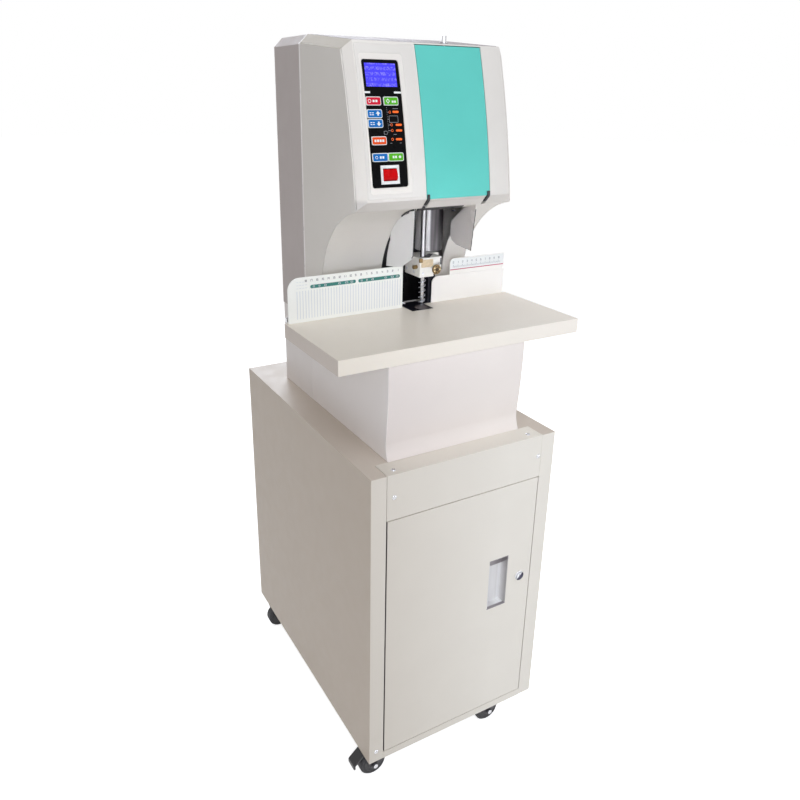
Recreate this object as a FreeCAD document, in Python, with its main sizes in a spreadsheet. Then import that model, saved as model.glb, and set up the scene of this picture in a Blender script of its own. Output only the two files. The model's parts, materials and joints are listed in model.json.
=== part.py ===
import FreeCAD, Part
import Sketcher
import math
import os
import re

# Document riveting machine: a drill-and-rivet head over a worktable, standing on a wheeled cabinet.
# Frame: +X to the operator's right, -Y towards the operator, +Z up, origin on the floor below the middle.
# Lengths are millimetres. "Left" and "right" are the operator's.

Vec = FreeCAD.Vector
doc = FreeCAD.newDocument("RivetingMachine")
sheet = doc.addObject("Spreadsheet::Sheet", "Sizes")

# ---------------------------------------------------------------- driving dimensions

SIZES = [
    # cabinet
    ("caster_height", 64, "floor to the cabinet's underside"),
    ("cabinet_width", 350, "cabinet, side to side"),
    ("cabinet_depth", 520, "cabinet, front to back"),
    ("cabinet_height", 549, "cabinet, underside to top"),
    ("cabinet_shift", 15, "cabinet's centre line left of the worktable's"),
    ("steel_wall", 1.5, "folded cabinet sheet"),
    ("front_flange", 27, "wrap's folded edge beside the door"),
    ("rear_flange", 15, "wrap's folded edge around the back panel"),
    ("lip_depth", 20, "folded lip of the sill and of the front cover"),
    ("sill_height", 14, "front edge of the cabinet floor"),
    ("cover_height", 77, "face of the front cover above the door"),
    ("cover_gap", 0.5, "gap round the front cover"),
    ("shelf_height", 330, "floor to the shelf"),
    ("shelf_setback", 45, "shelf's front edge behind the cabinet's front"),
    ("shelf_depth", 450, "shelf, front to back"),
    ("vent_width", 70, "slot in the back panel"),
    ("vent_height", 5, "slot in the back panel"),
    ("vent_pitch", 14, "slot to slot"),
    ("vent_spread", 110, "column of slots to column of slots"),
    ("vent_count", 6, "slots in a column"),
    ("vent_drop", 80, "cabinet top down to the first slot"),
    # door
    ("door_gap", 1.5, "gap round the door"),
    ("door_fold", 15, "depth of the door's folded edges"),
    ("hinge_inset", 6, "door's edge to the hinge axis"),
    ("hinge_setback", 5, "hinge axis behind the door's face"),
    ("pin_radius", 3, "door hinge pin"),
    ("pin_reach", 8, "pin's length each side of the gap"),
    ("handle_height", 345.5, "floor to the middle of the handle and lock"),
    ("handle_offset", 76, "handle's middle right of the cabinet's"),
    ("cup_width", 40, "handle recess"),
    ("cup_height", 100, "handle recess"),
    ("cup_depth", 18, "handle recess"),
    ("lock_offset", 122.5, "lock right of the cabinet's middle"),
    ("lock_radius", 8.5, "lock's face"),
    ("lock_proud", 3, "lock's face in front of the door"),
    ("barrel_radius", 7.5, "lock barrel behind the door"),
    ("barrel_depth", 17, "lock barrel behind the door"),
    ("plug_radius", 5.5, "turning plug of the lock"),
    ("cam_length", 32, "lock cam from its axis"),
    ("cam_width", 12, "lock cam"),
    ("cam_thick", 2, "lock cam"),
    ("key_slot_width", 1.2, "slot for the key"),
    ("key_slot_height", 7, "slot for the key"),
    ("key_slot_depth", 3, "slot for the key"),
    # clearances
    ("running_gap", 0.05, "radial clearance of a shaft in its bore"),
    ("moving_gap", 0.3, "clearance of pieces that move past each other"),
    ("overrun", 1, "how far a cut runs past a face"),
    # casters
    ("wheel_radius", 25, "caster wheel"),
    ("wheel_width", 20, "caster wheel"),
    ("wheel_edge", 2.5, "chamfer of the tread"),
    ("hub_radius", 8, "wheel's hub"),
    ("rim_radius", 18, "inside of the wheel's rim"),
    ("web_sunk", 3, "wheel's web below its hub and rim"),
    ("web_slope", 1, "width of the slope on each side of the web"),
    ("axle_radius", 4, "wheel axle"),
    ("axle_head", 2.5, "thickness of the axle's heads outside the fork"),
    ("axle_head_radius", 6, "axle's heads"),
    ("caster_trail", 25, "swivel axis to wheel axle"),
    ("swivel_inset", 50, "cabinet's side to the swivel axis"),
    ("swivel_setback", 40, "cabinet's front or back to the swivel axis"),
    ("plate_side", 60, "caster's mounting plate"),
    ("plate_thick", 3, "caster's mounting plate"),
    ("stud_radius", 5, "swivel stud"),
    ("crown_radius", 20, "top of the fork"),
    ("crown_thick", 9, "top of the fork"),
    ("cheek_thick", 2.5, "fork's side"),
    ("cheek_gap", 1.5, "wheel to the fork's side"),
    ("shoulder_reach", 15, "swivel axis to the upper corners of the fork's sides"),
    ("shoulder_drop", 2, "crown's top down to those corners"),
    ("tail_reach", 43, "swivel axis to the rear corners of the fork's sides"),
    ("tail_rise", 4, "crown's underside up to the upper rear corner"),
    ("tail_drop", 5, "crown's underside down to the lower rear corner"),
    ("toe_reach", 9, "axle to the rear and to the bottom of the fork's foot"),
    ("toe_chamfer", 4, "axle to the two ends of the foot's chamfer"),
    ("toe_front", 5, "axle to the front of the fork's foot"),
    ("nose_reach", 14, "swivel axis to the front corner of the fork's sides"),
    ("nose_drop", 6, "crown's underside down to the front corner"),
    ("pedal_pin", 2, "radius of the brake pedal's pin"),
    ("pedal_reach", 64, "swivel axis to the pedal's end"),
    ("pedal_pin_reach", 37, "swivel axis to the pedal's pin"),
    ("pedal_pin_rise", 0.5, "crown's underside up to the pedal's pin"),
    ("pedal_thick", 3, "brake pedal"),
    ("pedal_knee_reach", 46, "swivel axis to the pedal's bend"),
    ("pedal_knee_rise", 1, "crown's underside up to the pedal's bend"),
    ("pedal_drop", 15, "crown's underside down to the pedal's outer corner"),
    ("pedal_lip", 8, "height of the pedal's end"),
    ("pedal_gap", 0.5, "pedal to the fork's sides"),
    # base, worktable and fences
    ("base_width", 252, "lower housing"),
    ("base_height", 154, "cabinet top to the worktable's underside"),
    ("base_setback", 38, "lower housing behind the cabinet's front, at the table"),
    ("base_waist", 6, "how far its front is drawn in above the foot"),
    ("base_flare", 2, "how far its foot stands out in front of the table's edge"),
    ("waist_rise", 28, "cabinet top to the waist"),
    ("base_seam", 312, "cabinet's front to the lower housing's seam"),
    ("shell_wall", 2.5, "wall of the machine's housings"),
    ("table_width", 445, "worktable"),
    ("table_depth", 195, "worktable"),
    ("table_thick", 24, "worktable"),
    ("table_wall", 2, "worktable's sheet"),
    ("notch_width", 44, "notch in the table's back edge"),
    ("notch_depth", 33, "notch in the table's back edge"),
    ("notch_shift", 5, "notch's middle left of the drill axis"),
    ("fence_setback", 226, "cabinet's front to the left fence"),
    ("fence_thick", 2, "fence plates"),
    ("fence_margin", 4.5, "worktable's left end to the left fence"),
    ("left_fence_height", 74, "left fence"),
    ("left_fence_corner", 20, "radius of its outer corner"),
    ("fence_notch", 5, "left fence's end left of the notch"),
    ("fence_opening", 63, "left fence to right fence"),
    ("fence_end", 8.5, "worktable's right end to the right fence"),
    ("right_fence_height", 47, "right fence"),
    ("right_fence_corner", 12, "radius of its inner corner"),
    ("label_width", 120, "tall plate behind the right fence"),
    ("label_height", 75, "tall plate behind the right fence"),
    ("label_corner", 7, "radius of its upper left corner"),
    ("bar_radius", 4, "bar behind the left fence"),
    ("bar_short", 4, "left fence's end to the bar's end"),
    # head
    ("head_overhang", 1.5, "head beyond the lower housing's left side"),
    ("head_reach", 33.5, "head beyond the lower housing's right side"),
    ("head_rise", 434, "table top to the head's top"),
    ("head_seam", 330, "cabinet's front to the seam between the head's shells"),
    ("head_back", 437, "cabinet's front to the back of the machine"),
    ("brow_drop", 15, "head's top down to the top of its face"),
    ("crease_rise", 198, "table top to the lower crease of the face"),
    ("face_setback", 129, "cabinet's front to that crease"),
    ("face_radius", 1345, "vertical curve of the face"),
    ("face_drop", 178, "crease down to the centre of that curve"),
    ("bevel_back", 14, "bevel round the face, front to back"),
    ("bevel_drop", 15, "bevel below the crease"),
    ("throat_setback", 262, "cabinet's front to the back of the throat"),
    ("throat_rise", 60, "table top to the foot of the throat's curve"),
    ("throat_mid_setback", 222, "cabinet's front to the middle of that curve"),
    ("throat_mid_rise", 139, "table top to the middle of that curve"),
    ("mouth_width", 127, "opening in the throat"),
    ("mouth_rise", 50, "table top to the opening's lower edge"),
    ("mouth_drop", 8, "foot of the bevel down to the opening's upper edge"),
    ("work_centre", 34, "middle of the opening and of the cover"),
    ("cut_ahead", 20, "how far in front of the face its openings are cut from"),
    ("cut_depth", 100, "how deep the openings in the face are cut"),
    # tube cover
    ("lid_width", 118, "hinged tube cover"),
    ("lid_gap", 1, "gap beside the tube cover"),
    ("lid_drop", 3, "opening's lower edge below the crease"),
    ("lid_top", 218, "crease to the tube cover's upper edge"),
    ("lid_pin_back", 12, "crease back to the hinge axis"),
    ("lid_pin_drop", 6, "crease down to the hinge axis"),
    ("lid_pin_radius", 1.5, "hinge pin of the tube cover"),
    ("arm_thick", 5, "hinge arm of the tube cover"),
    ("arm_height", 24, "hinge arm up the tube cover's back"),
    ("arm_radius", 3.4, "hinge arm round its pin"),
    ("ear_thick", 4, "ear that holds the hinge pin"),
    ("ear_height", 12, "ear that holds the hinge pin"),
    ("ear_drop", 5, "hinge axis down to the ear's lower edge"),
    ("ear_back", 5, "hinge axis back to the ear's rear edge"),
    ("slot_drop", 24, "slots for the hinge arms below the cover's opening"),
    ("slot_back", 24, "crease back to the end of those slots"),
    # control panel
    ("panel_width", 61, "control panel"),
    ("panel_height", 176, "control panel"),
    ("panel_inset", 55, "head's left side to the control panel's middle"),
    ("panel_rise", 20, "crease to the control panel's lower edge"),
    ("panel_sunk", 1, "control panel below the face"),
    ("panel_thick", 3, "control panel"),
    ("panel_flange", 3, "panel's flange behind the face"),
    ("screen_width", 51, "display window"),
    ("screen_height", 33, "display window"),
    ("screen_thick", 1.5, "display window"),
    ("screen_sunk", 0.3, "display window below the panel"),
    ("screen_rise", 175.5, "crease to the middle of the display"),
    ("key_width", 24.6, "push key"),
    ("mode_width", 26, "push key of the mode pair"),
    ("key_height", 12, "push key"),
    ("key_proud", 0.9, "push key above the panel"),
    ("key_depth", 5, "push key, front to back"),
    ("left_column", -17.3, "panel's middle to the left column of keys"),
    ("right_column", 11.5, "panel's middle to the right column of keys"),
    ("test_column", -13.7, "panel's middle to the test key"),
    ("drill_column", -14.2, "panel's middle to the drill mode key"),
    ("rivet_column", 12.2, "panel's middle to the rivet mode key"),
    ("stop_rise", 140, "crease to the stop and start keys"),
    ("up_rise", 122.8, "crease to the up key"),
    ("down_rise", 109.6, "crease to the down key"),
    ("test_rise", 86, "crease to the test key"),
    ("mode_rise", 63, "crease to the mode keys"),
    ("bezel_width", 31, "power switch bezel"),
    ("bezel_height", 27, "power switch bezel"),
    ("bezel_depth", 14, "power switch, front to back"),
    ("bezel_proud", 1.2, "power switch bezel above the panel"),
    ("bezel_sunk", 0.2, "power switch bezel into the panel"),
    ("bezel_rim", 2, "bezel beyond the switch's body"),
    ("bezel_rise", 38.5, "crease to the middle of the power switch"),
    ("bezel_offset", 0.3, "power switch right of the panel's middle"),
    ("rocker_width", 23, "rocker"),
    ("rocker_radius", 8.8, "rocker's ends round its pivot"),
    ("rocker_flat", 7.2, "rocker's pivot to its two flats"),
    ("rocker_pivot", 5, "bezel's face back to the rocker's pivot"),
    ("stub_radius", 1.5, "rocker's pivot stubs"),
    ("stub_length", 1.5, "rocker's pivot stubs"),
    ("rocker_tilt", 9, "rocker's tilt either way, degrees"),
    # mechanism
    ("drill_offset", 25, "drill axis right of the worktable's middle"),
    ("drill_setback", 215, "cabinet's front to the drill axis"),
    ("drill_stroke", 56, "travel of the carriage"),
    ("bit_rise", 57, "table top to the drill's tip"),
    ("bit_radius", 3, "hollow drill"),
    ("bit_bore", 2, "hollow drill's bore radius"),
    ("bit_length", 34, "hollow drill"),
    ("bit_socket", 18, "hollow drill inside the spindle"),
    ("bit_taper", 0.4, "how much narrower the hollow drill's tip is"),
    ("bit_taper_height", 3, "height of the hollow drill's taper"),
    ("spindle_radius", 4.5, "spindle"),
    ("spindle_taper", 1, "how much narrower the spindle's nose is"),
    ("spindle_taper_height", 2, "height of the spindle's nose"),
    ("collar_radius", 8, "spindle's collar below the carriage"),
    ("collar_height", 5, "spindle's collar below the carriage"),
    ("frame_setback", 330, "cabinet's front to the frame's column"),
    ("frame_width", 117, "frame's column and brackets"),
    ("frame_left", -22, "frame's left edge"),
    ("column_thick", 20, "frame's column"),
    ("arm_deep", 20, "frame's lower arm, top to bottom"),
    ("arm_width", 77, "frame's lower arm"),
    ("arm_inset", 15, "frame's left edge to the lower arm"),
    ("arm_ahead", 15, "lower arm in front of the drill axis"),
    ("die_clear", 2, "table's underside to the frame's lower arm"),
    ("bracket_thick", 10, "frame's two brackets"),
    ("bracket_rise", 194, "table top to the lower bracket"),
    ("bracket_span", 195, "lower bracket to upper bracket"),
    ("bracket_setback", 238, "cabinet's front to the brackets' front edge"),
    ("guide_radius", 6, "guide rods of the carriage"),
    ("guide_setback", 285, "cabinet's front to the guide rods"),
    ("guide_spread", 35, "guide rod left or right of the drill axis"),
    ("carriage_thick", 30, "carriage"),
    ("carriage_rise", 299, "table top to the carriage at rest"),
    ("beam_deep", 30, "carriage's beam, front to back"),
    ("nose_width", 40, "carriage's block round the spindle"),
    ("nut_width", 26, "carriage's block round the lift screw"),
    ("nut_ahead", 12, "that block in front of the screw's axis"),
    ("motor_radius", 20, "drill motor"),
    ("motor_height", 60, "drill motor"),
    ("lift_offset", 40, "lift screw right of the drill axis"),
    ("lift_setback", 260, "cabinet's front to the lift screw"),
    ("lift_radius", 24, "lift motor"),
    ("lift_height", 103, "lift motor"),
    ("screw_radius", 5, "lift screw"),
    ("foot_rise", 56, "table top to the press foot at rest"),
    ("foot_height", 33, "press foot"),
    ("foot_front", 203, "cabinet's front to the press foot"),
    ("foot_depth", 48, "press foot, front to back"),
    ("foot_left", 12, "left edge of the press foot"),
    ("foot_width", 57, "press foot"),
    ("foot_hole", 6, "radius of the drill's hole in the press foot"),
    ("foot_slot_left", 22, "press foot's left edge to its front slot"),
    ("foot_slot_width", 18, "press foot's front slot"),
    ("foot_slot_height", 8, "press foot's front slot"),
    ("foot_slot_depth", 6, "press foot's front slot"),
    ("foot_slot_drop", 18, "press foot's top down to the foot of that slot"),
    ("foot_step_left", 28, "press foot's left edge to its front step"),
    ("foot_step_depth", 15, "press foot's front step"),
    ("foot_step_height", 12, "press foot's front step"),
    ("tip_radius", 3.5, "brass tip beside the press foot"),
    ("tip_length", 7, "brass tip beside the press foot"),
    ("tip_setback", 10, "press foot's front to the brass tip"),
    ("tip_rise", 17, "press foot's underside to the brass tip"),
    ("fitting_radius", 5, "brass fitting in the press foot's step"),
    ("fitting_length", 9, "brass fitting in the press foot's step"),
    ("fitting_offset", 35, "press foot's left edge to that fitting"),
    ("fitting_setback", 6, "press foot's front to that fitting"),
    ("fitting_rise", 6, "press foot's underside to that fitting"),
    ("post_width", 14, "square post that guides the press foot"),
    ("post_deep", 9, "square post, front to back"),
    ("post_offset", 33, "square post's middle right of the drill axis"),
    ("post_setback", 240, "cabinet's front to the square post's middle"),
    ("post_short", 4, "press foot's top at rest down to the square post's top"),
    ("column_offset", 16, "spring column right of the drill axis"),
    ("column_setback", 240, "cabinet's front to the spring column"),
    ("column_radius", 4, "spring column"),
    ("column_above", 20, "spring column above the press foot at rest"),
    ("spring_radius", 5.6, "middle of the return spring's wire"),
    ("wire_radius", 0.8, "return spring's wire"),
    ("spring_turns", 10, "turns of the return spring"),
    ("die_rear", 254, "cabinet's front to the die block's back"),
    ("die_width", 73, "die block behind the table"),
    ("die_sink", 0.5, "die block's top below the table top"),
    ("die_lap", 5, "how far the die block's two parts run into each other"),
    ("pad_radius", 12, "plastic pad under the drill"),
    ("pad_thick", 5, "plastic pad under the drill"),
    ("pad_proud", 0.3, "plastic pad above the die block"),
    ("guard_spread", 60, "clear guard left or right of the drill axis"),
    ("guard_thick", 2, "clear guard"),
    ("guard_drop", 93, "crease down to the guards' lower edge"),
    ("guard_front", 147, "cabinet's front to the guards"),
    ("guard_depth", 75, "guards, front to back"),
    ("guard_toe_back", 4, "guards' rear edge to their lowest corner"),
    ("guard_toe_drop", 3, "guards' lower edge down to that corner"),
    ("guard_heel_rise", 2, "guards' lower edge up to their rear lower corner"),
    ("guard_rear_rise", 35, "guards' lower edge up to their rear upper corner"),
    ("guard_slope_back", 37, "guards' rear edge to the end of their slope"),
    ("guard_slope_rise", 62, "guards' lower edge up to the end of their slope"),
    ("guard_top_back", 45, "guards' rear edge to the end of their upper edge"),
    # inlets and screws
    ("inlet_offset", 35, "tube inlet right of the worktable's middle"),
    ("inlet_setback", 190, "cabinet's front to the tube inlet"),
    ("inlet_radius", 4, "tube inlet's outside"),
    ("inlet_bore", 2.7, "tube inlet's bore radius"),
    ("inlet_proud", 12, "tube inlet above the face's top edge"),
    ("inlet_sunk", 16, "tube inlet below the face's top edge"),
    ("ring_width", 2.5, "ring round the tube inlet"),
    ("ring_height", 1.5, "ring round the tube inlet"),
    ("ring_rise", 2, "face's top edge up to that ring"),
    ("socket_width", 48, "power socket"),
    ("socket_height", 28, "power socket"),
    ("socket_depth", 24, "power socket"),
    ("socket_proud", 1.5, "power socket behind the housing"),
    ("socket_rim", 11, "power socket's side to its well"),
    ("well_height", 17, "well in the power socket"),
    ("well_depth", 16, "housing's back to the bottom of the well"),
    ("blade_thick", 2, "power socket's contacts"),
    ("blade_height", 4, "power socket's contacts"),
    ("blade_length", 12, "power socket's contacts"),
    ("blade_pitch", 7, "contact to contact"),
    ("socket_rise", 70, "cabinet top to the middle of the power socket"),
    ("screw_head", 4, "radius of the screw heads"),
    ("screw_proud", 1.5, "height of the screw heads"),
    ("cover_screw_left", 13, "front cover's left edge to its screw"),
    ("cover_screw_right", 6, "front cover's right edge to its screw"),
    ("flange_screw_rise", 22, "cabinet's underside to the screw in its front flange"),
    ("top_screw_left", 18, "front cover's left edge to the screw on top"),
    ("top_screw_right", 21, "front cover's right edge to the screw on top"),
    ("top_screw_setback", 13, "cabinet's front to the screws on top"),
]

# Places worked out from the sizes above.
PLACES = [
    ("cabinet_mid", "-cabinet_shift"),
    ("front", "(lock_proud - cabinet_depth) / 2"),
    ("rear", "front + cabinet_depth"),
    ("side_left", "cabinet_mid - cabinet_width / 2"),
    ("cabinet_top", "caster_height + cabinet_height"),
    ("cover_low", "cabinet_top - cover_height"),
    ("opening_left", "side_left + front_flange"),
    ("opening_width", "cabinet_width - 2 * front_flange"),
    ("door_left", "opening_left + door_gap"),
    ("door_width", "opening_width - 2 * door_gap"),
    ("door_low", "caster_height + sill_height + door_gap"),
    ("door_high", "cover_low - door_gap"),
    ("hinge_x", "door_left + hinge_inset"),
    ("hinge_y", "front + hinge_setback"),
    ("lock_x", "cabinet_mid + lock_offset"),
    ("cam_y", "front + barrel_depth + moving_gap"),
    ("plate_low", "caster_height - plate_thick"),
    ("crown_high", "plate_low - moving_gap"),
    ("crown_low", "crown_high - crown_thick"),
    ("fork_half", "wheel_width / 2 + cheek_gap"),
    ("base_left", "cabinet_mid - base_width / 2"),
    ("table_low", "cabinet_top + base_height"),
    ("table_high", "table_low + table_thick"),
    ("table_front", "front + base_setback"),
    ("table_rear", "table_front + table_depth"),
    ("drill_y", "front + drill_setback"),
    ("notch_left", "drill_offset - notch_width / 2 - notch_shift"),
    ("left_fence_right", "notch_left - fence_notch"),
    ("left_fence_left", "fence_margin - table_width / 2"),
    ("left_fence_width", "left_fence_right - left_fence_left"),
    ("right_fence_left", "left_fence_right + fence_opening"),
    ("right_fence_right", "table_width / 2 - fence_end"),
    ("fence_y", "front + fence_setback"),
    ("head_left", "base_left - head_overhang"),
    ("head_width", "head_overhang + base_width + head_reach"),
    ("head_high", "table_high + head_rise"),
    ("crease", "table_high + crease_rise"),
    ("face_y", "front + face_setback"),
    ("throat_y", "front + throat_setback"),
    ("seam_y", "front + head_seam"),
    ("back_y", "front + head_back"),
    ("lid_left", "work_centre - lid_width / 2"),
    ("lid_pin_y", "face_y + lid_pin_back"),
    ("lid_pin_z", "crease - lid_pin_drop"),
    ("panel_middle", "head_left + panel_inset"),
    ("panel_left", "panel_middle - panel_width / 2"),
    ("panel_low", "crease + panel_rise"),
    ("frame_y", "front + frame_setback"),
    ("arm_high", "table_low - die_clear"),
    ("bracket_low", "table_high + bracket_rise"),
    ("bracket_high", "bracket_low + bracket_span"),
    ("bracket_y", "front + bracket_setback"),
    ("guide_y", "front + guide_setback"),
    ("lift_x", "drill_offset + lift_offset"),
    ("lift_y", "front + lift_setback"),
    ("carriage_low", "table_high + carriage_rise"),
    ("carriage_high", "carriage_low + carriage_thick"),
    ("bit_tip", "table_high + bit_rise"),
    ("spindle_low", "bit_tip + bit_length - bit_socket"),
    ("foot_low", "table_high + foot_rise"),
    ("foot_y", "front + foot_front"),
    ("post_x", "drill_offset + post_offset"),
    ("post_y", "front + post_setback"),
    ("column_x", "drill_offset + column_offset"),
    ("column_y", "front + column_setback"),
    ("die_high", "table_high - die_sink"),
    ("pad_low", "die_high + pad_proud - pad_thick"),
    ("brow", "head_high - brow_drop"),
    ("inlet_y", "front + inlet_setback"),
]
NAMES = set(name for name, *rest in SIZES + PLACES)

TOUCH = 0.01  # lengths shorter than this count as nothing
# Points of the lower housing's two front curves: shares of the waist's depth and of each curve's height.
FOOT_BEND = (0.55, 0.4)
NECK_BEND = (0.4, 0.45)
# Shares of the wall by which the inside stands back from the lip and from the middle of the throat's curve.
LIP_SHARE = 0.4
THROAT_SHARE = 0.7


def fill_sheet():
    """Write the sizes as plain numbers and the places as formulas, each under its alias."""
    for row, (name, number, meaning) in enumerate(SIZES, 2):
        sheet.set("A%d" % row, meaning)
        sheet.set("B%d" % row, str(number))
        sheet.setAlias("B%d" % row, name)
    for row, (name, formula) in enumerate(PLACES, 2):
        sheet.setAlias("D%d" % row, name)
    for row, (name, formula) in enumerate(PLACES, 2):
        sheet.set("D%d" % row, "=" + formula)
    doc.recompute()


def size(name):
    """A size or place as a number, for shapes that Part's functions make."""
    return float(sheet.get(name))


# ---------------------------------------------------------------- helpers

AXES = {"x": Vec(1, 0, 0), "y": Vec(0, 1, 0), "z": Vec(0, 0, 1)}
NODES = []


def bound(text):
    """An expression in size names, as an expression on the sheet's cells."""
    return re.sub(r"[a-z]\w+", lambda word: ("Sizes." if word.group() in NAMES else "") + word.group(), text)


def place(item, corner):
    """Tie an object's position to three expressions."""
    for axis, text in zip("xyz", corner):
        item.setExpression(".Placement.Base." + axis, bound(text))


def box(name, corner, extent):
    """A block from its low corner and its three lengths."""
    item = doc.addObject("Part::Box", name)
    for prop, text in zip(("Length", "Width", "Height"), extent):
        item.setExpression(prop, bound(text))
    place(item, corner)
    return item


def bar(name, axis, start, radius, length):
    """A cylinder along x, y or z from the middle of its low end."""
    item = doc.addObject("Part::Cylinder", name)
    item.Placement = FreeCAD.Placement(Vec(), FreeCAD.Rotation(AXES["z"], AXES[axis]))
    item.setExpression("Radius", bound(radius))
    item.setExpression("Height", bound(length))
    place(item, start)
    return item


def fuse(name, *items):
    """One solid from pieces that meet."""
    item = doc.addObject("Part::MultiFuse", name)
    item.Shapes = list(items)
    item.Refine = True
    return item


def cut(name, base, *tools):
    """A piece with the tools taken out of it."""
    item = doc.addObject("Part::Cut", name)
    item.Base = base
    item.Tool = tools[0] if len(tools) == 1 else group(name + "_tools", *tools)
    return item


def group(name, *items):
    """Separate solids that share one node."""
    item = doc.addObject("Part::Compound", name)
    item.Links = list(items)
    return item


def shaped(name, shape):
    """A piece whose shape Part's own functions made; it keeps the placement that they gave it."""
    item = doc.addObject("Part::Feature", name)
    item.Shape = shape
    item.Placement = shape.Placement
    return item


def keep(*items):
    """Mark finished sub-parts; the object's name becomes its label."""
    for item in items:
        item.Label = item.Name
        NODES.append(item)


def outline(body, role, points):
    """A closed sketch on one of the body's origin planes, each corner tied to two expressions."""
    sketch = body.newObject("Sketcher::SketchObject", body.Name + "_outline")
    plane = [item for item in body.Origin.OriginFeatures if item.Role == role][0]
    sketch.AttachmentSupport = [(plane, "")]
    sketch.MapMode = "FlatFace"
    count = len(points)
    turns = [2 * math.pi * index / count for index in range(count)]
    first = [Vec(math.cos(turn), math.sin(turn), 0) * count for turn in turns]
    for index in range(count):
        sketch.addGeometry(Part.LineSegment(first[index], first[(index + 1) % count]), False)
    for index in range(count):
        sketch.addConstraint(Sketcher.Constraint("Coincident", index, 2, (index + 1) % count, 1))
    for index, corner in enumerate(points):
        for kind, text in zip(("DistanceX", "DistanceY"), corner):
            number = sketch.addConstraint(Sketcher.Constraint(kind, -1, 1, index, 1, 1.0))
            sketch.setExpression("Constraints[%d]" % number, bound(text))
    return sketch


def plate(name, plane, points, start, thick):
    """A flat piece: an outline in the XZ or YZ plane, padded along the third axis from start."""
    body = doc.addObject("PartDesign::Body", name)
    pad = body.newObject("PartDesign::Pad", name + "_pad")
    sketch = outline(body, plane + "_Plane", points)
    pad.Profile = sketch
    pad.setExpression("Length", bound(thick))
    if plane == "XZ":
        place(body, ("0", start + " + " + thick, "0"))
    else:
        place(body, (start, "0", "0"))
    body.Tip = pad
    return body


def turned(name, axis, origin, points):
    """A turned piece: radius and height corners, revolved about x, y or z through origin."""
    body = doc.addObject("PartDesign::Body", name)
    sketch = outline(body, "XZ_Plane", points)
    turn = body.newObject("PartDesign::Revolution", name + "_turn")
    turn.Profile = sketch
    turn.ReferenceAxis = (sketch, ["V_Axis"])
    turn.Angle = 360
    body.Tip = turn
    body.Placement = FreeCAD.Placement(Vec(), FreeCAD.Rotation(AXES["z"], AXES[axis]))
    place(body, origin)
    return body


def round_corner(body, radius, corner_x, corner_z):
    """Round the edges of a plate that run along Y through a corner given by two expressions' values."""
    doc.recompute()
    base = body.Tip
    names = []
    for index, edge in enumerate(base.Shape.Edges, 1):
        bounds = edge.BoundBox
        along_y = max(bounds.XLength, bounds.ZLength) < TOUCH
        if along_y and abs(bounds.Center.x - corner_x) < TOUCH and abs(bounds.Center.z - corner_z) < TOUCH:
            names.append("Edge%d" % index)
    fillet = body.newObject("PartDesign::Fillet", body.Name + "_round")
    fillet.Base = (base, names)
    fillet.setExpression("Radius", bound(radius))
    body.Tip = fillet


# ---------------------------------------------------------------- cabinet


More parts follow.
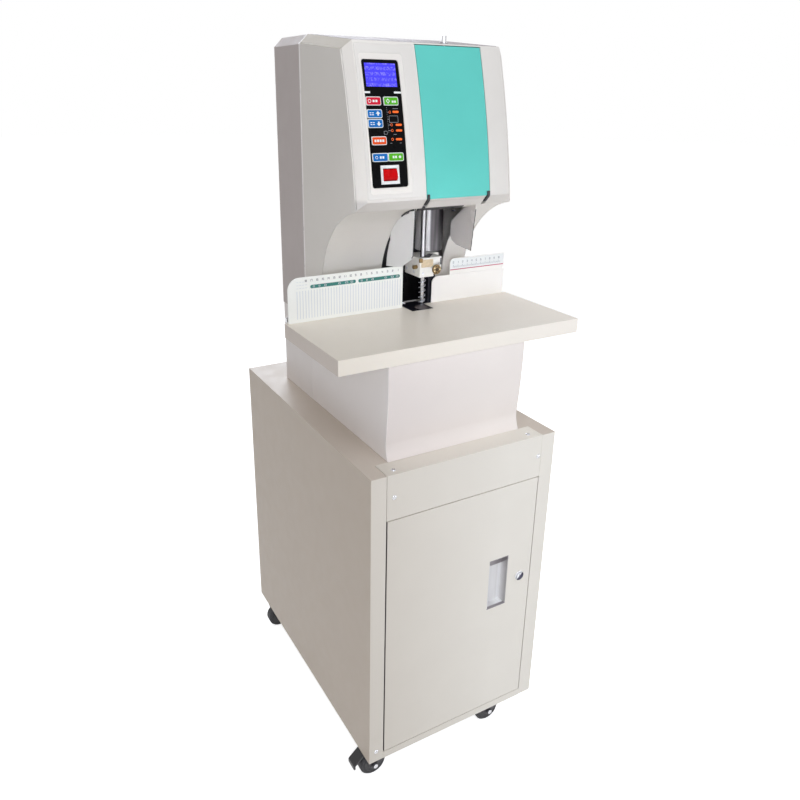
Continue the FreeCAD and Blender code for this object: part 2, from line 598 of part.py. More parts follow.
def cabinet():
    """Folded wrap, floor with its sill, back panel, front cover and shelf; two of them carry hinge pins."""
    outer = box("wrap_outer", ("side_left", "front", "caster_height"),
                ("cabinet_width", "cabinet_depth", "cabinet_height"))
    hollow = box("wrap_hollow", ("side_left + steel_wall", "front + steel_wall", "caster_height - overrun"),
                 ("cabinet_width - 2 * steel_wall", "cabinet_depth - 2 * steel_wall",
                  "cabinet_height - steel_wall + overrun"))
    door_way = box("wrap_door_way", ("opening_left", "front - overrun", "caster_height - overrun"),
                   ("opening_width", "steel_wall + 2 * overrun", "cabinet_height + 2 * overrun"))
    top_way = box("wrap_top_way", ("opening_left", "front - overrun", "cabinet_top - steel_wall - overrun"),
                  ("opening_width", "base_setback + overrun", "steel_wall + 2 * overrun"))
    back_way = box("wrap_back_way", ("side_left + rear_flange", "rear - steel_wall - overrun",
                                     "caster_height - overrun"),
                   ("cabinet_width - 2 * rear_flange", "steel_wall + 2 * overrun",
                    "cabinet_height - rear_flange + overrun"))
    keep(cut("cabinet_wrap", outer, hollow, door_way, top_way, back_way))

    deck = box("floor_deck", ("side_left + steel_wall", "front + steel_wall", "caster_height"),
               ("cabinet_width - 2 * steel_wall", "cabinet_depth - 2 * steel_wall", "steel_wall"))
    sill = box("floor_sill", ("opening_left", "front", "caster_height"),
               ("opening_width", "steel_wall", "sill_height"))
    sill_lip = box("floor_lip", ("opening_left", "front", "caster_height + sill_height - steel_wall"),
                   ("opening_width", "lip_depth", "steel_wall"))
    low_pin = bar("floor_pin", "z", ("hinge_x", "hinge_y", "door_low - door_gap - pin_reach"),
                  "pin_radius", "2 * pin_reach + door_gap")
    keep(fuse("cabinet_floor", deck, sill, sill_lip, low_pin))

    panel = box("back_plate", ("side_left + steel_wall", "rear - 2 * steel_wall",
                               "caster_height + steel_wall"),
                ("cabinet_width - 2 * steel_wall", "steel_wall", "cabinet_height - 2 * steel_wall"))
    slots = []
    for side in (-1, 1):
        for number in range(int(size("vent_count"))):
            slots.append(box("back_vent",
                             ("cabinet_mid + %d * vent_spread / 2 - vent_width / 2" % side,
                              "rear - 3 * steel_wall", "cabinet_top - vent_drop - %d * vent_pitch" % number),
                             ("vent_width", "3 * steel_wall", "vent_height")))
    keep(cut("cabinet_back", panel, *slots))

    width = "opening_width - 2 * cover_gap"
    left = "opening_left + cover_gap"
    face = box("cover_face", (left, "front", "cover_low"), (width, "steel_wall", "cover_height"))
    top = box("cover_top", (left, "front", "cabinet_top - steel_wall"),
              (width, "base_setback - cover_gap", "steel_wall"))
    lip = box("cover_lip", (left, "front", "cover_low"), (width, "lip_depth", "steel_wall"))
    high_pin = bar("cover_pin", "z", ("hinge_x", "hinge_y", "door_high - pin_reach"),
                   "pin_radius", "2 * pin_reach + door_gap")
    keep(fuse("front_cover", face, top, lip, high_pin))

    board = box("shelf_board", ("side_left + steel_wall", "front + shelf_setback", "shelf_height"),
                ("cabinet_width - 2 * steel_wall", "shelf_depth", "steel_wall"))
    rims = [box("shelf_rim", (start, "front + shelf_setback", "shelf_height - door_fold"),
                ("steel_wall", "shelf_depth", "door_fold"))
            for start in ("side_left + steel_wall", "side_left + cabinet_width - 2 * steel_wall")]
    keep(fuse("cabinet_shelf", board, *rims))


def door():
    """Folded door with its recessed handle, lock barrel and turning cam."""
    pan = box("door_pan", ("door_left", "front", "door_low"),
              ("door_width", "door_fold", "door_high - door_low"))
    hollow = box("door_hollow", ("door_left + steel_wall", "front + steel_wall", "door_low + steel_wall"),
                 ("door_width - 2 * steel_wall", "door_fold", "door_high - door_low - 2 * steel_wall"))
    cup_left = "cabinet_mid + handle_offset - cup_width / 2"
    cup_low = "handle_height - cup_height / 2"
    cup_way = box("door_cup_way", (cup_left, "front - overrun", cup_low),
                  ("cup_width", "door_fold", "cup_height"))
    lock_way = bar("door_lock_way", "y", ("lock_x", "front - overrun", "handle_height"), "barrel_radius",
                   "door_fold")
    pin_ways = [bar("door_pin_way", "z", ("hinge_x", "hinge_y", low), "pin_radius + running_gap",
                    "3 * steel_wall")
                for low in ("door_low - steel_wall", "door_high - 2 * steel_wall")]
    keep(cut("door_panel", pan, hollow, cup_way, lock_way, *pin_ways))

    cup = box("cup_outer", (cup_left, "front", cup_low), ("cup_width", "cup_depth", "cup_height"))
    room = box("cup_room", (cup_left + " + steel_wall", "front - overrun", cup_low + " + steel_wall"),
               ("cup_width - 2 * steel_wall", "cup_depth - steel_wall + overrun",
                "cup_height - 2 * steel_wall"))
    keep(cut("door_cup", cup, room))

    face = bar("barrel_face", "y", ("lock_x", "front - lock_proud", "handle_height"), "lock_radius",
               "lock_proud")
    barrel = bar("barrel_body", "y", ("lock_x", "front", "handle_height"), "barrel_radius", "barrel_depth")
    bore = bar("barrel_bore", "y", ("lock_x", "front - lock_proud - overrun", "handle_height"),
               "plug_radius + running_gap", "lock_proud + barrel_depth + 2 * overrun")
    keep(cut("lock_barrel", fuse("barrel_whole", face, barrel), bore))

    plug = bar("plug", "y", ("lock_x", "front - lock_proud", "handle_height"), "plug_radius",
               "lock_proud + barrel_depth + moving_gap + cam_thick")
    cam = box("cam", ("lock_x - cam_width / 2", "cam_y", "handle_height - cam_length"),
              ("cam_width", "cam_thick", "cam_length"))
    key_slot = box("key_slot", ("lock_x - key_slot_width / 2", "front - lock_proud - overrun",
                                "handle_height - key_slot_height / 2"),
                   ("key_slot_width", "key_slot_depth + overrun", "key_slot_height"))
    keep(cut("lock_cam", fuse("cam_whole", plug, cam), key_slot))


CASTERS = [
    ("front_left", "side_left + swivel_inset", "front + swivel_setback"),
    ("front_right", "side_left + cabinet_width - swivel_inset", "front + swivel_setback"),
    ("rear_left", "side_left + swivel_inset", "rear - swivel_setback"),
    ("rear_right", "side_left + cabinet_width - swivel_inset", "rear - swivel_setback"),
]


def fork(corner, post_x, post_y):
    """Swivelling fork: crown, two sides and the axle with its heads."""
    crown = bar("crown", "z", (post_x, post_y, "crown_low"), "crown_radius", "crown_thick")
    points = [(post_x + " + shoulder_reach", "crown_high - shoulder_drop"),
              (post_x + " - shoulder_reach", "crown_high - shoulder_drop"),
              (post_x + " - tail_reach", "crown_low + tail_rise"),
              (post_x + " - tail_reach", "crown_low - tail_drop"),
              (post_x + " - caster_trail - toe_reach", "wheel_radius - toe_chamfer"),
              (post_x + " - caster_trail - toe_chamfer", "wheel_radius - toe_reach"),
              (post_x + " - caster_trail + toe_front", "wheel_radius - toe_reach"),
              (post_x + " + nose_reach", "crown_low - nose_drop")]
    cheeks = [plate("cheek", "XZ", points, start, "cheek_thick")
              for start in (post_y + " - fork_half - cheek_thick", post_y + " + fork_half")]
    wheel_way = box("wheel_way", (post_x + " - pedal_reach", post_y + " - fork_half", "0"),
                    ("pedal_reach + 2 * crown_radius", "2 * fork_half", "crown_low"))
    stud_way = bar("stud_way", "z", (post_x, post_y, "0"), "stud_radius + running_gap", "caster_height")
    axle_x = post_x + " - caster_trail"
    side = post_y + " - plate_side / 2"
    axle_way = bar("axle_way", "y", (axle_x, side, "wheel_radius"), "axle_radius", "plate_side")
    pin_way = bar("pedal_pin_way", "y", (post_x + " - pedal_pin_reach", side, "crown_low + pedal_pin_rise"),
                  "pedal_pin + running_gap", "plate_side")
    frame = cut("fork_frame", fuse("fork_body", crown, *cheeks), wheel_way, stud_way, axle_way, pin_way)
    shank = bar("axle_shank", "y", (axle_x, post_y + " - fork_half - cheek_thick", "wheel_radius"),
                "axle_radius", "2 * fork_half + 2 * cheek_thick")
    heads = [bar("axle_end", "y", (axle_x, start, "wheel_radius"), "axle_head_radius", "axle_head")
             for start in (post_y + " - fork_half - cheek_thick - axle_head",
                           post_y + " + fork_half + cheek_thick")]
    return group("caster_fork_" + corner, frame, fuse("axle", shank, *heads))


def wheel(corner, post_x, post_y):
    """Caster wheel with a chamfered tread and a thinner web."""
    near = "-wheel_width / 2"
    far = "wheel_width / 2"
    near_web = near + " + web_sunk"
    far_web = far + " - web_sunk"
    points = [("axle_radius + running_gap", near), ("hub_radius", near), ("hub_radius + web_slope", near_web),
              ("rim_radius - web_slope", near_web), ("rim_radius", near), ("wheel_radius - wheel_edge", near),
              ("wheel_radius", near + " + wheel_edge"), ("wheel_radius", far + " - wheel_edge"),
              ("wheel_radius - wheel_edge", far), ("rim_radius", far), ("rim_radius - web_slope", far_web),
              ("hub_radius + web_slope", far_web), ("hub_radius", far), ("axle_radius + running_gap", far)]
    return turned("caster_wheel_" + corner, "y", (post_x + " - caster_trail", post_y, "wheel_radius"), points)


def pedal(corner, post_x, post_y):
    """Brake pedal on its pin, over the trailing side of the wheel."""
    pin_x = post_x + " - pedal_pin_reach"
    pin_z = "crown_low + pedal_pin_rise"
    knee_x = post_x + " - pedal_knee_reach"
    knee_z = "crown_low + pedal_knee_rise"
    end_x = post_x + " - pedal_reach"
    end_z = "crown_low - pedal_drop"
    lever = plate("lever", "XZ",
                  [(pin_x, pin_z + " + pedal_pin"), (knee_x, knee_z), (end_x, end_z),
                   (end_x, end_z + " - pedal_lip"), (end_x + " + pedal_thick", end_z + " - pedal_lip"),
                   (end_x + " + pedal_thick", end_z + " - pedal_thick / 3"),
                   (knee_x + " + pedal_thick / 2", knee_z + " - pedal_thick"),
                   (pin_x, pin_z + " - pedal_pin")],
                  post_y + " - fork_half + pedal_gap", "2 * fork_half - 2 * pedal_gap")
    pin = bar("pedal_pin", "y", (pin_x, post_y + " - fork_half - cheek_thick", pin_z), "pedal_pin",
              "2 * fork_half + 2 * cheek_thick")
    return fuse("brake_pedal_" + corner, lever, pin)


def casters():
    """Four swivelling casters; the front pair has brake pedals."""
    plates = []
    for corner, post_x, post_y in CASTERS:
        flange = box("caster_flange", (post_x + " - plate_side / 2", post_y + " - plate_side / 2",
                                       "plate_low"),
                     ("plate_side", "plate_side", "plate_thick"))
        stud = bar("caster_stud", "z", (post_x, post_y, "crown_low"), "stud_radius",
                   "plate_low - crown_low + overrun")
        plates.append(fuse("caster_plate_" + corner, flange, stud))
    keep(group("caster_plates", *plates))
    for corner, post_x, post_y in CASTERS:
        keep(fork(corner, post_x, post_y), wheel(corner, post_x, post_y))
        if corner.startswith("front"):
            keep(pedal(corner, post_x, post_y))


# ---------------------------------------------------------------- housings


def base_profile(setback, high):
    """Side outline of the lower housing, drawn in at the waist; setback moves its front to the rear."""
    front = size("table_front") + setback
    low = size("cabinet_top")
    rear = size("front") + size("base_seam")
    foot = Vec(0, front - size("base_flare"), low)
    waist = Vec(0, front + size("base_waist"), low + size("waist_rise"))
    neck = Vec(0, front, high)
    bend = Vec(0, front + FOOT_BEND[0] * size("base_waist"), low + FOOT_BEND[1] * size("waist_rise"))
    sweep = Vec(0, front + NECK_BEND[0] * size("base_waist"), low + NECK_BEND[1] * (high - low))
    edges = [Part.Arc(foot, bend, waist).toShape(), Part.Arc(waist, sweep, neck).toShape(),
             Part.makePolygon([neck, Vec(0, rear, high), Vec(0, rear, low), foot])]
    return Part.Wire(sum([item.Edges for item in edges], []))


def along_x(wire, left, width):
    """A solid from a closed side outline."""
    wire = wire.copy()
    wire.translate(Vec(left, 0, 0))
    return Part.Face(wire).extrude(Vec(width, 0, 0))


def block(left, front, low, width, depth, height):
    """A block from plain numbers."""
    return Part.makeBox(width, depth, height, Vec(left, front, low))


def base_shell():
    """Lower housing: a front wall with a drawn-in waist and two side walls, open above, below and behind."""
    wall = size("shell_wall")
    low = size("cabinet_top")
    high = size("table_low")
    left = size("base_left")
    width = size("base_width")
    outer = along_x(base_profile(0, high), left, width)
    inner = along_x(base_profile(wall, high), left + wall, width - 2 * wall)
    rear = size("front") + size("base_seam")
    behind = block(left + wall, rear - wall - size("overrun"), low, width - 2 * wall, 3 * wall, high - low)
    keep(shaped("base_shell", outer.cut(inner).cut(behind)))


def rear_shell():
    """Rear housing, from the cabinet's top to the head's, narrow below the table and wide above it."""
    low_part = box("rear_low", ("base_left", "front + base_seam", "cabinet_top"),
                   ("base_width", "head_back - base_seam", "base_height"))
    high_part = box("rear_high", ("head_left", "seam_y", "table_low"),
                    ("head_width", "head_back - head_seam", "head_high - table_low"))
    low_room = box("rear_low_room", ("base_left + shell_wall", "front + base_seam - overrun",
                                     "cabinet_top - overrun"),
                   ("base_width - 2 * shell_wall", "head_back - base_seam - shell_wall + overrun",
                    "base_height + 2 * shell_wall"))
    high_room = box("rear_high_room", ("head_left + shell_wall", "seam_y - overrun",
                                       "table_low + shell_wall"),
                    ("head_width - 2 * shell_wall", "head_back - head_seam - shell_wall + overrun",
                     "head_high - table_low - 2 * shell_wall"))
    strips = []
    fills = []
    for edge, sign in (("head_left", "+"), ("head_left + head_width", "-")):
        strips.append(plate("rear_strip", "XZ",
                            [(edge, "head_high - bevel_drop"), (edge, "head_high + overrun"),
                             ("%s %s (bevel_drop + overrun)" % (edge, sign), "head_high + overrun")],
                            "seam_y - overrun", "head_back - head_seam + 2 * overrun"))
        fills.append(plate("rear_fill", "XZ",
                           [("%s %s shell_wall" % (edge, sign), "head_high - shell_wall"),
                            ("%s %s shell_wall" % (edge, sign), "head_high - bevel_drop - shell_wall"),
                            ("%s %s (bevel_drop + shell_wall)" % (edge, sign), "head_high - shell_wall")],
                           "seam_y", "head_back - head_seam"))
    socket_way = box("rear_socket_way",
                     ("cabinet_mid - socket_width / 2", "back_y - shell_wall - overrun",
                      "cabinet_top + socket_rise - socket_height / 2"),
                     ("socket_width", "shell_wall + 2 * overrun", "socket_height"))
    body = cut("rear_hull", fuse("rear_outer", low_part, high_part), low_room, high_room)
    lined = fuse("rear_lined", body, *fills)
    keep(cut("rear_shell", lined, socket_way, *strips))


def face_disc(depth):
    """The cylinder whose front is the face, or a surface that lies depth behind it."""
    radius = size("face_radius")
    drop = size("face_drop")
    centre_y = size("face_y") + math.sqrt(radius ** 2 - drop ** 2)
    centre_z = size("crease") - drop
    return Part.makeCylinder(radius - depth, size("head_width"),
                             Vec(size("head_left"), centre_y, centre_z), AXES["x"])


def face_at(height, depth=0.0):
    """Y of the face, or of a surface depth behind it, at a height."""
    radius = size("face_radius")
    drop = size("face_drop")
    centre_y = size("face_y") + math.sqrt(radius ** 2 - drop ** 2)
    rise = height - (size("crease") - drop)
    return centre_y - math.sqrt((radius - depth) ** 2 - rise ** 2)


def face_tilt(height):
    """How far the face leans back at a height, in degrees."""
    return math.degrees(math.asin((height - size("crease") + size("face_drop")) / size("face_radius")))


def skin(left, low, width, height, near, far):
    """A piece of the curved face between two depths behind it."""
    ahead = size("cut_ahead")
    slab = block(left, size("face_y") - ahead, low, width, ahead + size("cut_depth"), height)
    return face_disc(near).common(slab).cut(face_disc(far))


def front_profile(inset):
    """Side outline of the head's front shell; inset shrinks it by the wall and opens it at the seam."""
    seam = size("seam_y") + (size("overrun") if inset else 0)
    high = size("head_high") - inset
    low = size("table_low") + inset
    brow = size("brow") - inset
    crease = size("crease")
    throat = size("throat_y") + inset
    face = [Vec(0, face_at(height, inset), height) for height in (crease, (crease + brow) / 2, brow)]
    lip = Vec(0, size("face_y") + size("bevel_back") + LIP_SHARE * inset, crease - size("bevel_drop") + inset)
    middle = Vec(0, size("front") + size("throat_mid_setback") + THROAT_SHARE * inset,
                 size("table_high") + size("throat_mid_rise") + THROAT_SHARE * inset)
    knee = Vec(0, throat, size("table_high") + size("throat_rise"))
    edges = Part.Arc(face[0], face[1], face[2]).toShape().Edges
    edges += Part.makePolygon([face[2], Vec(0, seam, high), Vec(0, seam, low), Vec(0, throat, low),
                               knee]).Edges
    edges += Part.Arc(knee, middle, lip).toShape().Edges
    edges += Part.makePolygon([lip, face[0]]).Edges
    return Part.Wire(edges)


def head_solid(inset):
    """The head's front as a solid with bevelled sides, shrunk by inset."""
    left = size("head_left") + inset
    width = size("head_width") - 2 * inset
    solid = along_x(front_profile(inset), left, width)
    sides = []
    for edge in solid.Edges:
        bounds = edge.BoundBox
        if bounds.XLength < TOUCH and bounds.ZMin > size("crease") - size("overrun"):
            sides.append(edge)
    return solid.makeChamfer(size("bevel_back"), sides)


def front_shell():
    """Head's front housing: curved face, bevels and throat with cut-outs and hinge ears, and two sides."""
    outer = head_solid(0.0)
    inner = head_solid(size("shell_wall"))
    shell = outer.cut(inner)
    gap = size("lid_gap")
    slot = size("arm_thick") + 3 * gap
    lid_left = size("lid_left") - gap
    lid_right = lid_left + size("lid_width") + 2 * gap
    lid_low = size("crease") - size("lid_drop")
    lid_high = size("crease") + size("lid_top") + gap
    ahead = size("cut_ahead")
    near = size("face_y") - ahead
    deep = ahead + size("cut_depth")
    lid_way = block(lid_left, near, lid_low, lid_right - lid_left, deep, lid_high - lid_low)
    slots = [block(left, near, lid_low - size("slot_drop"), slot, ahead + size("slot_back"),
                   size("slot_drop") + size("overrun")) for left in (lid_left, lid_right - slot)]
    panel_way = block(size("panel_left"), near, size("panel_low"), size("panel_width"), deep,
                      size("panel_height"))
    mouth_low = size("table_high") + size("mouth_rise")
    mouth_high = size("crease") - size("bevel_drop") - size("mouth_drop")
    mouth = block(size("work_centre") - size("mouth_width") / 2, size("front") + size("guard_front"),
                  mouth_low, size("mouth_width"),
                  size("throat_setback") - size("guard_front") + 2 * size("shell_wall"),
                  mouth_high - mouth_low)
    inlet = Part.makeCylinder(size("inlet_radius"), 2 * size("inlet_sunk") + 2 * size("inlet_proud"),
                              Vec(size("inlet_offset"), size("inlet_y"),
                                  size("brow") - 2 * size("inlet_sunk")))
    for tool in [lid_way, panel_way, mouth, inlet] + slots:
        shell = shell.cut(tool)
    thick = size("ear_thick")
    for left in (lid_left - thick, lid_right):
        ear = block(left, size("face_y"), size("lid_pin_z") - size("ear_drop"), thick,
                    size("lid_pin_back") + size("ear_back"), size("ear_height"))
        shell = shell.fuse(ear.common(outer))
    pin = Part.makeCylinder(size("lid_pin_radius") + size("running_gap"), lid_right - lid_left + 2 * thick,
                            Vec(lid_left - thick, size("lid_pin_y"), size("lid_pin_z")), AXES["x"])
    shell = shell.cut(pin).removeSplitter()
    wall = size("shell_wall")
    for name, left in (("head_side_left", size("head_left")),
                       ("head_side_right", size("head_left") + size("head_width") - wall)):
        slab = block(left, size("front"), size("cabinet_top"), wall, size("head_back"), size("head_high"))
        keep(shaped(name, shell.common(slab)))
        shell = shell.cut(slab)
    keep(shaped("front_shell", shell))


def tube_cover():
    """Hinged cover over the tube magazine, and the two black arms that carry it on their pins."""
    wall = size("shell_wall")
    left = size("lid_left")
    width = size("lid_width")
    low = size("crease")
    keep(shaped("tube_cover", skin(left, low, width, size("lid_top"), 0.0, wall)))
    pin_y = size("lid_pin_y")
    pin_z = size("lid_pin_z")
    thick = size("arm_thick")
    round_off = size("arm_radius")
    arms = []
    for arm_left, pin_left in ((left + size("lid_gap"), left - size("lid_gap") - size("ear_thick")),
                               (left + width - size("lid_gap") - thick, left + width - thick)):
        corners = [Vec(arm_left, pin_y + round_off, pin_z), Vec(arm_left, pin_y - round_off, pin_z),
                   Vec(arm_left, size("face_y") + wall, low), Vec(arm_left, size("face_y") - wall, low),
                   Vec(arm_left, face_at(low + size("arm_height")), low + size("arm_height")),
                   Vec(arm_left, pin_y, low + size("arm_height"))]
        arm = Part.Face(Part.makePolygon(corners + corners[:1])).extrude(Vec(thick, 0, 0))
        below = block(arm_left, size("face_y"), low - size("slot_drop"), thick, size("slot_back"),
                      size("slot_drop"))
        inside = face_disc(wall).fuse(below)
        arm = arm.common(inside)
        arm = arm.fuse(Part.makeCylinder(round_off, thick, Vec(arm_left, pin_y, pin_z), AXES["x"]))
        reach = size("lid_gap") * 2 + size("ear_thick") + thick
        arm = arm.fuse(Part.makeCylinder(size("lid_pin_radius"), reach, Vec(pin_left, pin_y, pin_z),
                                         AXES["x"]))
        arms.append(arm.removeSplitter())
    keep(shaped("cover_arms", Part.Compound(arms)))


# ---------------------------------------------------------------- control panel

KEYS = [
    ("key_stop", "stop_rise", "left_column", "key_width"),
    ("key_start", "stop_rise", "right_column", "key_width"),
    ("key_up", "up_rise", "left_column", "key_width"),
    ("key_down", "down_rise", "left_column", "key_width"),
    ("key_test", "test_rise", "test_column", "key_width"),
    ("key_drill_mode", "mode_rise", "drill_column", "mode_width"),
    ("key_rivet_mode", "mode_rise", "rivet_column", "mode_width"),
]


def tilted_block(middle_x, middle_z, width, height, near, far):
    """A block square to the face at a height, from depth near to depth far behind it."""
    solid = block(-width / 2, near, -height / 2, width, far - near, height)
    solid.rotate(Vec(), AXES["x"], -face_tilt(middle_z))
    solid.translate(Vec(middle_x, face_at(middle_z), middle_z))
    return solid


def key_block(rise, column, width, gap, near, far):
    """A key's block in its row and column, grown by gap all round."""
    middle = size("panel_middle") + size(column)
    return tilted_block(middle, size("crease") + size(rise), size(width) + 2 * gap,
                        size("key_height") + 2 * gap, near, far)


def rocker_solid(tilt):
    """The rocker: a drum whose front is two flats that meet in a shallow V, turned by tilt degrees."""
    radius = size("rocker_radius")
    width = size("rocker_width")
    drum = Part.makeCylinder(radius, width, Vec(-width / 2, 0, 0), AXES["x"])
    for side in (-1, 1):
        flat = block(-width, -3 * radius, -3 * radius, 2 * width, 3 * radius - size("rocker_flat"),
                     6 * radius)
        flat.rotate(Vec(0, -size("rocker_flat"), 0), AXES["x"], side * size("rocker_tilt"))
        drum = drum.cut(flat)
    drum.rotate(Vec(), AXES["x"], tilt)
    return drum


def control_panel():
    """Sunk control panel with the display, seven push keys and the rocker power switch."""
    sunk = size("panel_sunk")
    back = sunk + size("panel_thick")
    wall = size("shell_wall")
    left = size("panel_left")
    low = size("panel_low")
    width = size("panel_width")
    height = size("panel_height")
    edge = size("panel_flange")
    sheet_front = skin(left, low, width, height, sunk, back)
    sheet_flange = skin(left - edge, low - edge, width + 2 * edge, height + 2 * edge, wall, back)
    panel = sheet_front.fuse(sheet_flange).removeSplitter()
    ahead = size("cut_ahead")
    screen_z = size("crease") + size("screen_rise")
    screen_near = sunk + size("screen_sunk")
    screen_far = screen_near + size("screen_thick")
    screen, screen_way = [tilted_block(size("panel_middle"), screen_z, size("screen_width"),
                                       size("screen_height"),
                                       near, screen_far) for near in (screen_near, -ahead)]
    bezel_x = size("panel_middle") + size("bezel_offset")
    bezel_z = size("crease") + size("bezel_rise")
    bezel_width = size("bezel_width")
    bezel_height = size("bezel_height")
    bezel_seat = sunk + size("bezel_sunk")
    rim, seat = [tilted_block(bezel_x, bezel_z, bezel_width, bezel_height, near, bezel_seat)
                 for near in (sunk - size("bezel_proud"), -ahead)]
    narrow = 2 * size("bezel_rim")
    body, body_way = [tilted_block(bezel_x, bezel_z, bezel_width - narrow, bezel_height - narrow, near,
                                   sunk + size("bezel_depth")) for near in (bezel_seat, -ahead)]
    panel = panel.cut(screen_way).cut(body_way).cut(seat)
    gap = size("moving_gap")
    proud = sunk - size("key_proud")
    for name, rise, column, key_width in KEYS:
        panel = panel.cut(key_block(rise, column, key_width, gap, -ahead, ahead))
        keep(shaped(name, key_block(rise, column, key_width, 0.0, proud, proud + size("key_depth"))))
    keep(shaped("control_panel", panel), shaped("display_window", screen))

    pivot = Vec(bezel_x, face_at(bezel_z), bezel_z)
    depth = sunk - size("bezel_proud") + size("rocker_pivot")
    lean = math.radians(face_tilt(bezel_z))
    pivot += Vec(0, depth * math.cos(lean), -depth * math.sin(lean))
    rest = -face_tilt(bezel_z) - size("rocker_tilt")
    rocker = rocker_solid(rest)
    rocker.translate(pivot)
    room = Part.makeCylinder(size("rocker_radius") + gap, size("rocker_width") + 2 * gap,
                             Vec(-size("rocker_width") / 2 - gap, 0, 0), AXES["x"])
    room.translate(pivot)
    stub, stub_way = [Part.makeCylinder(size("stub_radius") + loose, 2 * (half + 2 * loose),
                                        Vec(-half - 2 * loose, 0, 0), AXES["x"])
                      for half in (size("rocker_width") / 2 + size("stub_length"),)
                      for loose in (0, size("running_gap"))]
    stub.translate(pivot)
    stub_way.translate(pivot)
    mouth = tilted_block(bezel_x, bezel_z, size("rocker_width") + 2 * gap,
                         2 * (size("rocker_radius") + gap), -ahead, depth)
    housing = rim.fuse(body).cut(room).cut(stub_way).cut(mouth)
    keep(shaped("rocker_bezel", housing.removeSplitter()), shaped("rocker", rocker.fuse(stub)))


# ---------------------------------------------------------------- worktable and fences


def worktable():
    """Folded worktable with a notch for the die block, and a ledge behind it that closes the base."""
    top = box("table_block", ("-table_width / 2", "table_front", "table_low"),
              ("table_width", "table_depth", "table_thick"))
    room = box("table_room", ("-table_width / 2 + table_wall", "table_front + table_wall",
                              "table_low - overrun"),
               ("table_width - 2 * table_wall", "table_depth - 2 * table_wall",
                "table_thick - table_wall + overrun"))
    ledge = box("table_ledge", ("base_left", "table_rear - table_wall", "table_low"),
                ("base_width", "throat_y - table_rear + table_wall", "table_wall"))
    notch = box("table_notch", ("notch_left", "table_rear - notch_depth", "table_low - overrun"),
                ("notch_width", "notch_depth + overrun", "table_thick + 2 * overrun"))
    die_way = box("table_die_way", ("notch_left", "table_rear - die_lap", "table_low - overrun"),
                  ("die_width", "front + die_rear - table_rear + die_lap + moving_gap",
                   "table_wall + 2 * overrun"))
    keep(cut("worktable", fuse("table_body", cut("table_pan", top, room), ledge), notch, die_way))


def fences():
    """Upright paper stops on the table: left one with a foot, right one, its tall label plate, and a bar."""
    low = "table_high"
    left = "left_fence_left"
    blade = plate("left_blade", "XZ",
                  [(left, low), ("left_fence_right", low), ("left_fence_right", low + " + left_fence_height"),
                   (left, low + " + left_fence_height")], "fence_y", "fence_thick")
    round_corner(blade, "left_fence_corner", size(left), size(low) + size("left_fence_height"))
    foot = box("left_foot", (left, "fence_y + fence_thick", low),
               ("left_fence_width", "table_rear - fence_y - fence_thick", "fence_thick"))
    keep(fuse("left_fence", blade, foot))

    right = plate("right_fence", "XZ",
                  [("right_fence_left", low), ("right_fence_right", low),
                   ("right_fence_right", low + " + right_fence_height"),
                   ("right_fence_left", low + " + right_fence_height")],
                  "table_rear - fence_thick", "fence_thick")
    round_corner(right, "right_fence_corner", size("right_fence_left"),
                 size(low) + size("right_fence_height"))
    keep(right)
    label_left = "right_fence_right - label_width"
    label = plate("scale_plate", "XZ",
                  [(label_left, "table_low + table_wall"), ("right_fence_right", "table_low + table_wall"),
                   ("right_fence_right", low + " + label_height"), (label_left, low + " + label_height")],
                  "table_rear", "fence_thick")
    round_corner(label, "label_corner", size("right_fence_right") - size("label_width"),
                 size(low) + size("label_height"))
    keep(label)
    keep(bar("fence_bar", "x", (left, "table_rear + bar_radius", "table_high + bar_radius"),
             "bar_radius", "left_fence_width - bar_short"))


# ---------------------------------------------------------------- mechanism


def machine_frame():
    """C-shaped frame that carries the die block below and the drive above, and its three guide rods."""
    width = "frame_width"
    column = box("frame_column", ("frame_left", "frame_y", "cabinet_top"),
                 (width, "column_thick", "bracket_high + bracket_thick - cabinet_top"))
    arm = box("frame_arm", ("frame_left + arm_inset", "drill_y - arm_ahead", "arm_high - arm_deep"),
              ("arm_width", "frame_y - drill_y + arm_ahead", "arm_deep"))
    brackets = [box("frame_bracket", ("frame_left", "bracket_y", low),
                    (width, "frame_y - bracket_y", "bracket_thick"))
                for low in ("bracket_low", "bracket_high")]
    rods = []
    for side in (-1, 1):
        rods.append(bar("guide_way", "z",
                        ("drill_offset + %d * guide_spread" % side, "guide_y", "bracket_low - overrun"),
                        "guide_radius", "bracket_span + bracket_thick + 2 * overrun"))
    screw = bar("screw_way", "z", ("lift_x", "lift_y", "bracket_low - overrun"), "screw_radius + running_gap",
                "bracket_span + bracket_thick + 2 * overrun")
    column_way = bar("column_way", "z", ("column_x", "column_y", "arm_high - arm_deep - overrun"),
                     "column_radius", "arm_deep + 2 * overrun")
    keep(cut("machine_frame", fuse("frame_body", column, arm, *brackets), screw, column_way, *rods))
    guides = [bar("guide_rod", "z", ("drill_offset + %d * guide_spread" % side, "guide_y", "bracket_low"),
                  "guide_radius", "bracket_span + bracket_thick") for side in (-1, 1)]
    column = bar("spring_column", "z", ("column_x", "column_y", "arm_high - arm_deep"), "column_radius",
                 "foot_low + foot_height + column_above - arm_high + arm_deep")
    keep(group("guide_rods", column, *guides))


